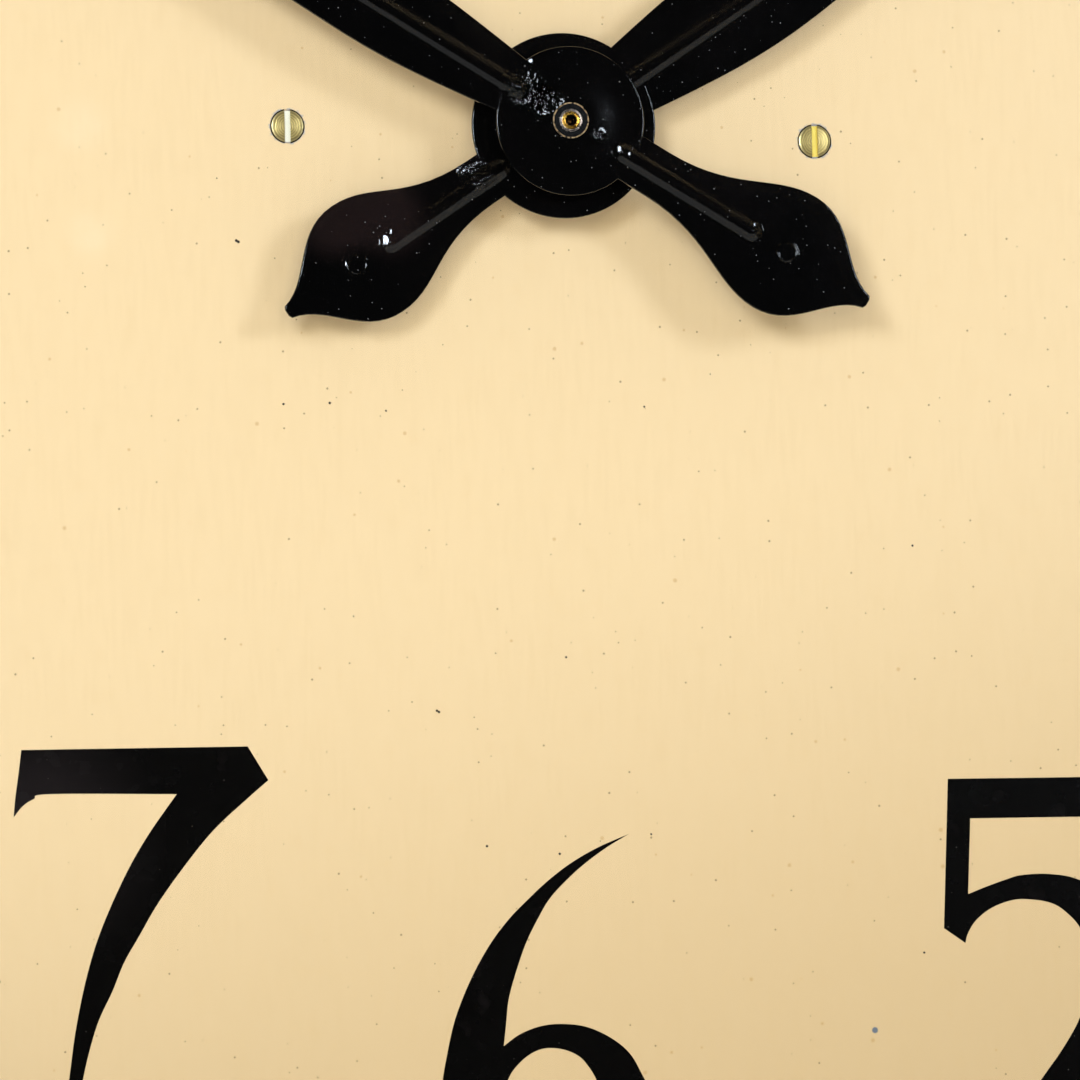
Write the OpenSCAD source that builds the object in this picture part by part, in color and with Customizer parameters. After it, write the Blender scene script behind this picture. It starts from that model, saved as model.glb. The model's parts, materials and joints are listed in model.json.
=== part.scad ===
// Round factory wall clock, driven by impulses from a master clock.
// The origin is the middle of the flat back of the case, on the axis of the hands.
// X runs to the right as the dial is read, Z up, and the dial faces -Y.
// Inside on_wall() the drawing plane is the dial's own: x right, y up, z out from the wall.

/* [Dial] */
// Diameter of the dial sheet
dial_d = 610; // [560:1:680]
// Thickness of the dial sheet
dial_t = 1.2; // [0.8:0.1:1.8]
// Hole in the middle of the dial, where the hour pipe comes through
dial_hole_d = 15; // [13:0.5:22]
// Distance between the two brass screws that hold the movement
dial_screw_span = 127; // [116:1:136]
// Slope of the line through those two screws, in degrees
dial_screw_tilt = 1.8; // [0:0.1:4]
// Head of such a screw
dial_screw_head_d = 8.2; // [7:0.1:9.5]
// Shank of such a screw
dial_screw_d = 4; // [3:0.1:4.6]
// Screws around the dial's rim
dial_rim_screws = 6; // [4:1:10]
// Distance of the rim screws from the dial's edge
dial_rim_screw_inset = 4.5; // [3.5:0.5:6]

/* [Case] */
// Depth of the case from the wall to its front flange
case_depth = 80; // [76:1:110]
// Thickness of the spun sheet
case_t = 1.5; // [1:0.1:2.5]
// Radius of the corner between back and side
case_corner_r = 30; // [15:1:40]
// How much wider the case is at its mouth than where the corner ends
case_draft = 16; // [6:1:24]
// Room between the dial's edge and the side of the case
case_gap = 13; // [9:0.5:20]
// Width of the front flange
flange_w = 22; // [18:0.5:30]
// Circle of the three holes for the wall screws
wall_hole_pcd = 440; // [400:1:470]
// Such a hole
wall_hole_d = 7; // [5:0.5:9]
// Distance of the cable entry below the middle
cable_drop = 175; // [150:1:190]
// Bore of the grommet in the cable entry
cable_bore_d = 10; // [6:0.5:12]
// Width of the angle straps that carry the dial
bracket_w = 30; // [20:1:44]

/* [Bezel] */
// Height of the bezel from the case's flange to its crown
bezel_h = 42; // [40:0.5:60]
// Thickness of the bezel's sheet
bezel_t = 1.2; // [0.8:0.1:1.6]
// Radius of the bezel's outer corner
bezel_corner_r = 16; // [8:0.5:20]
// How far the bezel's lip covers the dial's edge
sight_lap = 8; // [4:0.5:20]
// Step from the crown down to the land over the glass
bezel_step = 4; // [2:0.5:6]
// Thickness of the glass
glass_t = 3; // [2:0.1:4]
// How far the glass reaches under the lip
glass_lap = 8; // [5:0.5:10]
// Screws that hold the ring behind the glass
retainer_screw_count = 8; // [6:1:12]
// Length of the hinge
hinge_len = 60; // [45:1:90]
// Diameter of the hinge's knuckles
hinge_knuckle_d = 8; // [7:0.1:10]
// Diameter of the hinge pin
hinge_pin_d = 4; // [3:0.1:4.5]

/* [Hour hand] */
// Angle of the hour hand, clockwise from twelve
hour_angle = 56.6; // [0:0.1:359.9]
// From the axis to the point of the blade
hour_len = 165; // [140:1:190]
// Widest place of the blade
hour_blade_w = 24.8; // [20:0.1:32]
// From the axis to the end of the tail
hour_tail_len = 79.8; // [76:0.1:95]
// Widest place of the tail
hour_tail_w = 29.8; // [24:0.1:34]
// Diameter of the disc at the hub
hour_disc_d = 43.9; // [38:0.1:50]
// Front of the disc above the dial
hour_height = 16; // [14.5:0.1:17.4]

/* [Minute hand] */
// Angle of the minute hand, clockwise from twelve
minute_angle = 301.7; // [0:0.1:359.9]
// From the axis to the point of the blade
minute_len = 255; // [220:1:265]
// Widest place of the blade
minute_blade_w = 20.6; // [16:0.1:26]
// From the axis to the end of the tail
minute_tail_len = 82.4; // [78:0.1:95]
// Widest place of the tail
minute_tail_w = 30.4; // [24:0.1:34]
// Diameter of the disc at the hub
minute_disc_d = 35.2; // [30:0.1:40]
// Front of the disc above the dial
minute_height = 25; // [24.4:0.1:28]

/* [Both hands] */
// Sheet of the hands
hand_t = 1; // [0.8:0.1:1.2]
// Narrowest place of the tails
tail_neck_w = 11.8; // [10:0.1:14]
// Width of the blunt end of the tails
tail_tip_w = 3.2; // [2:0.1:5]
// Width of the pressed rib
rib_w = 4.6; // [3:0.1:5.2]
// Dome of the hub discs
disc_dome = 0.8; // [0.4:0.1:1.4]
// Diameter of the counterweights behind the tails
weight_d = 18; // [12:0.1:22]
// Thickness of those weights
weight_t = 4; // [2:0.1:4.4]
// Head of the rivet that holds a weight
rivet_head_d = 5; // [4:0.1:7]
// From the axis to a weight's rivet
rivet_reach = 59.5; // [56:0.1:62]

/* [Movement frame] */
// Thickness of the two plates
plate_t = 2.5; // [1.6:0.1:3]
// Room between the plates
plate_gap = 36; // [35:0.5:40]
// Room between the front plate and the dial, for the motion work
motion_gap = 15.3; // [14.6:0.1:17]
// Half the width of the plates at the pillars
plate_half_w = 60; // [58:0.5:66]
// Top of the plates above the axis
plate_top = 46; // [44:0.5:56]
// Bottom of the plates below the axis
plate_bottom = 108; // [106:0.5:120]
// Diameter of the pillars between the plates
pillar_d = 8; // [6:0.5:10]
// Diameter of the two posts between front plate and dial
post_d = 9; // [8:0.1:12]

/* [Train] */
// Diameter of the minute arbor
arbor_d = 5.4; // [4.6:0.1:6]
// Diameter over the ratchet's teeth
ratchet_d = 64; // [60:0.5:66]
// Depth of the ratchet's teeth
ratchet_depth = 2; // [1.2:0.1:2.6]
// Thickness of the ratchet wheel
ratchet_t = 2.4; // [1.6:0.1:3]
// Distance from the minute arbor to the motion stud
motion_centre = 24; // [22:0.5:27]
// Play between the flanks of meshing teeth
backlash = 0.16; // [0.12:0.01:0.25]
// Outer diameter of the hour pipe
pipe_d = 11.2; // [10.6:0.1:12.4]

/* [Magnet] */
// Distance between the two coils' axes
coil_pitch = 34; // [30:0.5:38]
// Diameter of the windings
coil_d = 24; // [18:0.5:26]
// Length of the windings
coil_len = 34; // [28:0.5:36]
// Diameter of the iron cores
core_d = 10; // [7:0.5:12]
// Gap between the armature and the poles when the magnet is off
air_gap = 3.6; // [3.5:0.1:5]
// Thickness of the armature
armature_t = 4; // [3:0.1:5]
// Depth of the armature and of the yoke, front to back
iron_w = 14; // [10:0.5:16]
// Distance of the armature's axis to the right of the minute arbor
armature_x = 34; // [32:0.5:38]
// Distance of the armature's axis below the minute arbor
armature_drop = 42; // [42:0.5:46]
// Curls of the return spring
spring_curls = 12; // [8:1:16]
// Wire of the return spring
spring_wire_d = 0.7; // [0.5:0.1:0.8]
// Outer diameter of the return spring
spring_d = 6; // [5:0.1:7]

/* [Hidden] */
$fn = 64;

// Teeth: one of the ratchet for each minute, and twelve to one from the minute hand to the hour hand
ratchet_teeth = 60;
cannon_teeth = 12;
motion_teeth = 36;
pinion_teeth = 12;
hour_teeth = 48;

// Clearances
run_gap = 0.05;
fit_gap = 0.02;
body_gap = 0.3;
screw_gap = 0.1;
eps = 0.01;

// Places along z, out from the wall
dial_front = case_depth - 1;
dial_back = dial_front - dial_t;
front_plate_z = dial_back - motion_gap - plate_t;
back_plate_z = front_plate_z - plate_gap - plate_t;
ring_t = 2;
bezel_front = case_depth + bezel_h;
land_z = bezel_front - bezel_step - bezel_t;
gasket_t = 2;
glass_z = land_z - gasket_t - glass_t;
iron_z = back_plate_z + plate_t + 9;
lever_t = 2.4;
lever_z = iron_z + iron_w;
ratchet_z = lever_z + lever_t + 1.2;
spring_z = lever_z + lever_t + 4;
hour_z = dial_front + hour_height;
minute_z = dial_front + minute_height;

// Radii of the case and the bezel
dial_r = dial_d / 2;
case_r = dial_r + case_gap;
flange_r = case_r + case_t + flange_w;
bezel_r = flange_r + 2;
sight_r = dial_r - sight_lap;
glass_r = sight_r + glass_lap;

module on_wall() {
    rotate([90, 0, 0]) children();
}

module clockwise(a) {
    rotate([0, 0, -a]) children();
}

module tube(r_out, r_in, z0, z1) {
    translate([0, 0, z0]) linear_extrude(z1 - z0) difference() {
        circle(r = r_out);
        circle(r = r_in);
    }
}

module rod(r, z0, z1) {
    translate([0, 0, z0]) cylinder(r = r, h = z1 - z0);
}

function on_arc(cx, cy, r, a0, a1, n) =
    [for (i = [0:n]) let (a = a0 + (a1 - a0) * i / n) [cx + r * cos(a), cy + r * sin(a)]];

function bezier(p, q, s, e, n) =
    [for (i = [0:n]) let (t = i / n, u = 1 - t)
        u * u * u * p + 3 * u * u * t * q + 3 * u * t * t * s + t * t * t * e];

function backwards(list) = [for (i = [len(list) - 1:-1:0]) list[i]];

// Case

case_back_r = case_r - case_draft - case_corner_r;

// Half section of the case's sheet: the outside, then the inside back again
function case_section() = concat(
    [[0, 0]],
    on_arc(case_back_r, case_corner_r, case_corner_r, -90, 0, 8),
    [
        [case_r + case_t, case_depth - case_t],
        [flange_r, case_depth - case_t],
        [flange_r, case_depth],
        [case_r, case_depth]
    ],
    on_arc(case_back_r, case_corner_r, case_corner_r - case_t, 0, -90, 8),
    [[0, case_t]]
);

module wall_holes() {
    for (a = [0, 120, 240]) clockwise(a) translate([0, wall_hole_pcd / 2, 0]) children();
}

grommet_neck_r = cable_bore_d / 2 + 2.5;
grommet_lip_r = grommet_neck_r + 2.5;
grommet_lip_t = 3;

module case_pan() {
    color("#1b1a19") on_wall() difference() {
        rotate_extrude($fn = 180) polygon(case_section());
        wall_holes() rod(wall_hole_d / 2, -1, case_t + 1);
        translate([0, -cable_drop, 0]) rod(grommet_neck_r + screw_gap, -1, case_t + 1);
    }
}

hang_plate_w = 90;
hang_plate_h = 36;
hang_plate_t = 3;
hang_plate_corner_r = 6;

module hanging_plate() {
    color("#8d9093") on_wall() translate([0, wall_hole_pcd / 2, case_t]) difference() {
        linear_extrude(hang_plate_t) rounded(hang_plate_w, hang_plate_h, hang_plate_corner_r);
        rod(wall_hole_d / 2, -1, hang_plate_t + 1);
    }
}

module rounded(w, h, r) {
    square([w - 2 * r, h], center = true);
    square([w, h - 2 * r], center = true);
    for (x = [-1, 1], y = [-1, 1]) translate([x * (w / 2 - r), y * (h / 2 - r)]) circle(r = r);
}

module cable_grommet() {
    color("#141414") on_wall() translate([0, -cable_drop, 0]) difference() {
        union() {
            rod(grommet_neck_r, 0, case_t + grommet_lip_t);
            rod(grommet_lip_r, case_t, case_t + grommet_lip_t);
        }
        rod(cable_bore_d / 2, -1, case_t + grommet_lip_t + 1);
    }
}

// Dial and what carries it

ring_w = 16;
ring_in_r = dial_r - ring_w;
ring_out_r = dial_r + 2;
ring_z = dial_back - ring_t;
bracket_t = 2;
bracket_foot = 26;
bracket_r = case_back_r - 4;
bracket_end_r = ring_out_r - 4;

module dial_brackets() {
    color("#8d9093") on_wall() for (a = [45:90:315]) clockwise(a)
        translate([-bracket_w / 2, 0, 0]) rotate([90, 0, 90]) linear_extrude(bracket_w) polygon([
            [bracket_r - bracket_foot, case_t],
            [bracket_r, case_t],
            [bracket_r, ring_z - bracket_t],
            [bracket_end_r, ring_z - bracket_t],
            [bracket_end_r, ring_z],
            [bracket_r - bracket_t, ring_z],
            [bracket_r - bracket_t, case_t + bracket_t],
            [bracket_r - bracket_foot, case_t + bracket_t]
        ]);
}

rim_screw_d = 3;
rim_screw_head_d = 6;
rim_screw_head_h = 1.6;
slot_w = 0.8;
slot_depth = 0.7;

// A screwdriver slot across a head of radius r whose top is at z
module slot(r, z) {
    translate([-r - 1, -slot_w / 2, z - slot_depth]) cube([2 * r + 2, slot_w, slot_depth + 1]);
}

module at_rim_screws() {
    for (i = [0:dial_rim_screws - 1])
        clockwise((i + 0.5) * 360 / dial_rim_screws) translate([0, dial_r - dial_rim_screw_inset, 0])
            children();
}

module dial_ring() {
    color("#8d9093") on_wall() difference() {
        tube(ring_out_r, ring_in_r, ring_z, dial_back);
        at_rim_screws() rod(rim_screw_d / 2 + screw_gap, ring_z - 1, dial_back + 1);
    }
}

module at_dial_screws() {
    for (s = [-1, 1]) rotate([0, 0, -dial_screw_tilt]) translate([s * dial_screw_span / 2, 0, 0])
        children();
}

// Depth of the countersunk part of a brass screw's head, and of the screw behind the dial
head_sink = dial_t - 0.2;
screw_reach = 9;

module dial() {
    color("#f2dcae") on_wall() difference() {
        rod(dial_r, dial_back, dial_front, $fn = 180);
        rod(dial_hole_d / 2, dial_back - 1, dial_front + 1);
        at_dial_screws() {
            rod(dial_screw_d / 2 + screw_gap, dial_back - 1, dial_front + 1);
            translate([0, 0, dial_front - head_sink]) cylinder(
                r1 = dial_screw_head_d / 2 + screw_gap - head_sink, r2 = dial_screw_head_d / 2 + screw_gap,
                h = head_sink + eps);
        }
        at_rim_screws() rod(rim_screw_d / 2 + screw_gap, dial_back - 1, dial_front + 1);
    }
}

module dial_rim_screws() {
    color("#a9abad") on_wall() at_rim_screws() difference() {
        union() {
            rod(rim_screw_d / 2, ring_z - 2, dial_front + 1);
            translate([0, 0, dial_front]) rotate_extrude() polygon([
                [0, 0], [rim_screw_head_d / 2, 0], [rim_screw_head_d / 2, rim_screw_head_h * 0.5],
                [rim_screw_head_d / 2 - 0.6, rim_screw_head_h], [0, rim_screw_head_h]
            ]);
        }
        slot(rim_screw_head_d / 2, dial_front + rim_screw_head_h);
    }
}

screw_crown = 0.5;
screw_slot_w = 1.4;
screw_slot_depth = 0.9;

// Countersunk head with a low crown, and a shank that reaches down into its post
module dial_screws() {
    color("#c9a24b") on_wall() at_dial_screws() rotate([0, 0, dial_screw_tilt]) difference() {
        translate([0, 0, dial_front]) rotate_extrude() polygon(concat(
            [
                [0, -dial_t - screw_reach],
                [dial_screw_d / 2, -dial_t - screw_reach],
                [dial_screw_d / 2, -head_sink],
                [dial_screw_head_d / 2 - head_sink, -head_sink],
                [dial_screw_head_d / 2, 0]
            ],
            [for (i = [1:5]) [dial_screw_head_d / 2 * (1 - i / 5), screw_crown * sqrt(1 - pow(1 - i / 5, 2))]]
        ));
        translate([-screw_slot_w / 2, -dial_screw_head_d, dial_front + screw_crown - screw_slot_depth])
            cube([screw_slot_w, 2 * dial_screw_head_d, 2]);
    }
}

// Bezel

bezel_turn_in = 10;
bezel_crown_w = 4;
crown_r = bezel_r - bezel_corner_r - bezel_crown_w;
land_r = crown_r - bezel_step;

// Half section of the bezel's sheet: the outside from the case's flange to the lip, then the inside
function bezel_section() = concat(
    [[bezel_r - bezel_turn_in, case_depth], [bezel_r, case_depth]],
    on_arc(bezel_r - bezel_corner_r, bezel_front - bezel_corner_r, bezel_corner_r, 0, 90, 8),
    [
        [crown_r, bezel_front],
        [land_r, bezel_front - bezel_step],
        [sight_r + bezel_t / 2, bezel_front - bezel_step],
        [sight_r, bezel_front - bezel_step - bezel_t / 2],
        [sight_r, land_z],
        [land_r + bezel_t / 2, land_z],
        [crown_r + bezel_t / 2, bezel_front - bezel_t]
    ],
    on_arc(bezel_r - bezel_corner_r, bezel_front - bezel_corner_r, bezel_corner_r - bezel_t, 90, 0, 8),
    [[bezel_r - bezel_t, case_depth + bezel_t], [bezel_r - bezel_turn_in, case_depth + bezel_t]]
);

module bezel() {
    color("#1b1a19") on_wall() difference() {
        rotate_extrude($fn = 180) polygon(bezel_section());
        at_retainer_screws() rod(retainer_screw_d / 2 + fit_gap, -1, retainer_screw_depth + 0.1);
    }
}

module glass() {
    color("#cfe3e6", 0.35) on_wall() rod(glass_r, glass_z, glass_z + glass_t, $fn = 180);
}

module glass_gasket() {
    color("#2a2622") on_wall() tube(glass_r, sight_r + 1, glass_z + glass_t, land_z, $fn = 180);
}

retainer_t = 1;
retainer_grip = 5;
retainer_edge_gap = 1;
retainer_wall_r = glass_r + body_gap;
retainer_out_r = land_r - retainer_edge_gap;
retainer_screw_at = (retainer_wall_r + retainer_t + retainer_out_r) / 2;

function retainer_section() = [
    [glass_r - retainer_grip, glass_z - retainer_t],
    [retainer_wall_r + retainer_t, glass_z - retainer_t],
    [retainer_wall_r + retainer_t, land_z - retainer_t],
    [retainer_out_r, land_z - retainer_t],
    [retainer_out_r, land_z],
    [retainer_wall_r, land_z],
    [retainer_wall_r, glass_z],
    [glass_r - retainer_grip, glass_z]
];

retainer_screw_d = 2.4;
retainer_screw_head_d = 5;
retainer_screw_h = 1.8;
retainer_screw_depth = bezel_t * 0.6;

module at_retainer_screws() {
    for (i = [0:retainer_screw_count - 1]) clockwise((i + 0.5) * 360 / retainer_screw_count)
        translate([0, retainer_screw_at, land_z]) children();
}

module glass_retainer() {
    color("#8d9093") on_wall() difference() {
        rotate_extrude($fn = 180) polygon(retainer_section());
        at_retainer_screws() rod(retainer_screw_d / 2 + fit_gap, -retainer_t - 1, 1);
    }
}

module retainer_screws() {
    color("#a9abad") on_wall() at_retainer_screws() mirror([0, 0, 1]) difference() {
        union() {
            rod(retainer_screw_d / 2, -retainer_screw_depth, retainer_t + eps);
            translate([0, 0, retainer_t]) cylinder(d1 = retainer_screw_head_d, d2 = retainer_screw_head_d - 1,
                h = retainer_screw_h);
        }
        slot(retainer_screw_head_d / 2, retainer_t + retainer_screw_h);
    }
}

// Hinge on the left: its axis is upright, in the plane of the case's flange

knuckle_r = hinge_knuckle_d / 2;
hinge_x = -(bezel_r + knuckle_r + 0.6);
knuckle_count = 5;
knuckle_pitch = hinge_len / knuckle_count;
knuckle_gap = 0.4;
leaf_t = 1.5;
leaf_w = 20;
leaf_z = case_depth - case_t - leaf_t;
leaf_r = bezel_r + fit_gap;

module barrel(i) {
    translate([hinge_x, -hinge_len / 2 + (i + 0.5) * knuckle_pitch, case_depth]) rotate([90, 0, 0])
        cylinder(r = knuckle_r, h = knuckle_pitch - knuckle_gap, center = true);
}

// A curved strip on the left of the clock, from r0 to r1 and z0 to z1, between the heights y0 and y1
module left_strip(r0, r1, z0, z1, y0, y1) {
    a0 = asin(y0 / bezel_r);
    a1 = asin(y1 / bezel_r);
    translate([0, 0, z0]) rotate([0, 0, 180 - a1]) rotate_extrude(angle = a1 - a0, $fn = 180)
        translate([r0, 0]) square([r1 - r0, z1 - z0]);
}

module hinge_bore() {
    translate([hinge_x, 0, case_depth]) rotate([90, 0, 0])
        cylinder(r = hinge_pin_d / 2 + run_gap, h = hinge_len + 2, center = true);
}

module hinge_fixed_leaf() {
    color("#77797b") on_wall() difference() {
        union() {
            translate([0, 0, leaf_z]) linear_extrude(leaf_t) {
                translate([-(bezel_r - 1), -hinge_len / 2]) square([leaf_w - 1, hinge_len]);
                for (i = [0:2:knuckle_count - 1])
                    translate([-(bezel_r + knuckle_r), -hinge_len / 2 + i * knuckle_pitch + knuckle_gap / 2])
                        square([knuckle_r + 2, knuckle_pitch - knuckle_gap]);
            }
            for (i = [0:2:knuckle_count - 1]) barrel(i);
        }
        hinge_bore();
    }
}

module hinge_moving_leaf() {
    color("#77797b") on_wall() difference() {
        union() {
            left_strip(leaf_r, leaf_r + leaf_t, case_depth + knuckle_r + 1,
                case_depth + min(leaf_w, bezel_h - bezel_corner_r), -hinge_len / 2, hinge_len / 2);
            for (i = [1:2:knuckle_count - 1]) {
                barrel(i);
                left_strip(leaf_r, leaf_r + leaf_t, case_depth + body_gap, case_depth + knuckle_r + 1.5,
                    -hinge_len / 2 + i * knuckle_pitch + knuckle_gap / 2,
                    -hinge_len / 2 + (i + 1) * knuckle_pitch - knuckle_gap / 2);
            }
        }
        hinge_bore();
    }
}

pin_head_r = hinge_pin_d / 2 + 1.2;

module hinge_pin() {
    color("#a9abad") on_wall() translate([hinge_x, 0, case_depth]) rotate([-90, 0, 0]) {
        rod(hinge_pin_d / 2, -hinge_len / 2 - 1, hinge_len / 2);
        rod(pin_head_r, hinge_len / 2, hinge_len / 2 + 2);
    }
}

// Latch on the right: the button turns over the bezel's lug

lug_reach = 8;
lug_w = 16;
lug_t = 3;
latch_x = bezel_r + 16;
button_len = 26;
button_w = 9;
button_t = 3;
button_z = case_depth + lug_t + body_gap;
latch_stud_r = 2;
latch_collar_r = latch_stud_r + 2.5;
latch_cap_r = latch_stud_r + 1.5;
latch_cap_t = 1.3;

module bezel_lug() {
    color("#77797b") on_wall() {
        translate([0, -lug_w / 2, case_depth]) difference() {
            cube([bezel_r + lug_reach, lug_w, lug_t]);
            translate([0, lug_w / 2, -1]) cylinder(r = bezel_r, h = lug_t + 2, $fn = 180);
        }
    }
}

module latch_plate() {
    color("#77797b") on_wall() {
        translate([0, 0, leaf_z]) linear_extrude(leaf_t) {
            translate([bezel_r - leaf_w, -lug_w / 2]) square([latch_x - bezel_r + leaf_w, lug_w]);
            translate([latch_x, 0]) circle(r = lug_w / 2);
        }
        translate([latch_x, 0, 0]) {
            rod(latch_collar_r, case_depth - case_t - eps, button_z - body_gap);
            rod(latch_stud_r, button_z - body_gap - eps, button_z + button_t + 1);
            rod(latch_cap_r, button_z + button_t + body_gap, button_z + button_t + body_gap + latch_cap_t);
        }
    }
}

module latch_button() {
    color("#c9a24b") on_wall() translate([latch_x, 0, button_z]) difference() {
        union() {
            translate([-button_w / 2, -(button_len - button_w) / 2, 0]) cube([button_w, button_len - button_w, button_t]);
            for (s = [-1, 1]) translate([0, s * (button_len - button_w) / 2, 0]) rod(button_w / 2, 0, button_t);
        }
        rod(latch_stud_r + run_gap, -1, button_t + 1);
    }
}

// Movement frame

pillar_x = plate_half_w - 7;
pillar_top_y = plate_top - 8;
pillar_bottom_y = -(plate_bottom - 7);
pillar_screw_d = 3;

module at_pillars() {
    for (x = [-pillar_x, pillar_x], y = [pillar_top_y, pillar_bottom_y]) translate([x, y, 0]) children();
}

module plate_outline() {
    plate_h = plate_top + plate_bottom;
    translate([0, plate_top - plate_h / 2]) rounded(2 * plate_half_w, plate_h, 8);
}

armature_y = -armature_drop;
armature_arbor_r = 2;

module common_bores(z) {
    rod(arbor_d / 2 + run_gap, z - 1, z + plate_t + 1);
    translate([armature_x, armature_y, 0]) rod(armature_arbor_r + run_gap, z - 1, z + plate_t + 1);
    at_pillars() rod(pillar_screw_d / 2 + screw_gap, z - 1, z + plate_t + 1);
}

ear_r = 9;

module front_plate() {
    color("#b99a55") on_wall() difference() {
        translate([0, 0, front_plate_z]) linear_extrude(plate_t) {
            plate_outline();
            for (s = [-1, 1]) rotate(-dial_screw_tilt) {
                translate([s * dial_screw_span / 2, 0]) circle(r = ear_r);
                translate([s * dial_screw_span / 4, 0]) square([dial_screw_span / 2, 2 * ear_r], center = true);
            }
        }
        common_bores(front_plate_z);
        translate([0, -motion_centre, 0]) rod(stud_r, front_plate_z - 1, front_plate_z + plate_t + 1);
        translate([backstop_x, backstop_y, 0]) rod(stud_r, front_plate_z - 1, front_plate_z + plate_t + 1);
        at_dial_screws() rod(post_foot_r, front_plate_z - 1, front_plate_z + plate_t + 1);
        translate([spring_x, spring_post_y, 0]) rod(stud_r, front_plate_z - 1, front_plate_z + plate_t + 1);
    }
}

module back_plate() {
    color("#b99a55") on_wall() difference() {
        translate([0, 0, back_plate_z]) linear_extrude(plate_t) plate_outline();
        common_bores(back_plate_z);
        for (s = [-1, 1]) translate([s * yoke_screw_x, yoke_screw_y, 0])
            rod(pillar_screw_d / 2 + screw_gap, back_plate_z - 1, back_plate_z + plate_t + 1);
    }
}

module plate_pillars() {
    color("#c2a562") on_wall() at_pillars()
        tube(pillar_d / 2, pillar_screw_d / 2 + fit_gap, back_plate_z + plate_t, front_plate_z);
}

plate_screw_head_r = 3;
plate_screw_head_h = 1.8;
plate_screw_reach = 8;

module plate_screw(reach = plate_screw_reach) {
    difference() {
        union() {
            rod(plate_screw_head_r, 0, plate_screw_head_h);
            rod(pillar_screw_d / 2, -plate_t - reach, eps);
        }
        slot(plate_screw_head_r, plate_screw_head_h);
    }
}

module pillar_screws() {
    color("#6f7275") on_wall() at_pillars() {
        translate([0, 0, front_plate_z + plate_t]) plate_screw();
        translate([0, 0, back_plate_z]) mirror([0, 0, 1]) plate_screw();
    }
}

post_foot_r = 2.5;

module dial_posts() {
    color("#c2a562") on_wall() at_dial_screws() difference() {
        union() {
            rod(post_d / 2, front_plate_z + plate_t, dial_back);
            rod(post_foot_r - fit_gap, front_plate_z, front_plate_z + plate_t);
        }
        rod(dial_screw_d / 2 + fit_gap, dial_back - screw_reach - 1, dial_back + 1);
    }
}

// Train

arbor_r = arbor_d / 2;
arbor_end_z = dial_front + minute_height + disc_dome;
arbor_back_z = back_plate_z - 2;
centre_hole_r = 1.3;
ratchet_r = ratchet_d / 2;
ratchet_hub_r = 8;
ratchet_hub_h = 5;
cannon_r = 4.2;
cannon_z = front_plate_z + plate_t + 0.5;
cannon_face = 6;
cannon_front_z = dial_front + hour_height + 2.5;
pipe_r = pipe_d / 2;
pipe_front_z = dial_front + hour_height + 1;
motion_wheel_t = 2;
motion_wheel_z = cannon_z + 2;
hour_wheel_t = 2;
hour_wheel_z = cannon_z + cannon_face + 1.2;
pinion_face_end = hour_wheel_z + hour_wheel_t + 1;
stud_r = 2;

module minute_arbor() {
    color("#b08d3c") on_wall() difference() {
        union() {
            rod(arbor_r, arbor_back_z, arbor_end_z);
            rod(arbor_r + 2, front_plate_z - 3, front_plate_z - body_gap);
            rod(arbor_r + 2, back_plate_z + plate_t + body_gap, back_plate_z + plate_t + 3);
        }
        translate([0, 0, arbor_end_z - 2]) cylinder(r1 = 0.4, r2 = centre_hole_r, h = 2 + eps);
    }
}

// Saw teeth: a radial face that the pawl pushes clockwise, and a long slope up to the next tip
function ratchet_outline() = [
    for (i = [0:ratchet_teeth - 1], tip = [1, 0])
        let (a = (i + 1) * 360 / ratchet_teeth, r = ratchet_r - (1 - tip) * ratchet_depth)
            [r * cos(a), r * sin(a)]
];

spoke_count = 5;
rim_in_r = ratchet_r - ratchet_depth - 4;

module ratchet_wheel() {
    color("#c2a562") on_wall() difference() {
        union() {
            translate([0, 0, ratchet_z]) linear_extrude(ratchet_t) difference() {
                polygon(ratchet_outline());
                difference() {
                    circle(r = rim_in_r);
                    circle(r = ratchet_hub_r + 2);
                    for (i = [0:spoke_count - 1]) rotate(i * 360 / spoke_count)
                        translate([0, -2.5]) square([rim_in_r + 1, 5]);
                }
            }
            rod(ratchet_hub_r, ratchet_z - ratchet_hub_h, ratchet_z + eps);
        }
        rod(arbor_r + fit_gap, ratchet_z - ratchet_hub_h - 1, ratchet_z + ratchet_t + 1);
    }
}

pressure_angle = 25;
function involute(a) = tan(a) * 180 / PI - a;

// One flank of a gear tooth as [radius, half angle], from the root to the tip
function flank(m, z) = let (
    pitch_r = m * z / 2,
    base_r = pitch_r * cos(pressure_angle),
    tip_r = pitch_r + 0.8 * m,
    root_r = pitch_r - m,
    low_r = max(base_r, root_r),
    half = 90 / z - backlash / 4 / pitch_r * 180 / PI + involute(pressure_angle)
) concat(
    [[root_r, half - involute(acos(base_r / low_r)) + 0.2 * 180 / z / 2]],
    [for (i = [0:3]) let (r = low_r + (tip_r - low_r) * i / 3) [r, half - involute(acos(min(1, base_r / r)))]]
);

module gear_outline(m, z) {
    f = flank(m, z);
    polygon([for (i = [0:z - 1]) each concat(
        [for (p = f) let (a = 360 * i / z - p[1]) p[0] * [cos(a), sin(a)]],
        [for (p = backwards(f)) let (a = 360 * i / z + p[1]) p[0] * [cos(a), sin(a)]]
    )]);
}

cannon_module = 2 * motion_centre / (cannon_teeth + motion_teeth);
hour_module = 2 * motion_centre / (pinion_teeth + hour_teeth);

// The line from the minute arbor to the motion stud points straight down
mesh_angle = -90;

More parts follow.
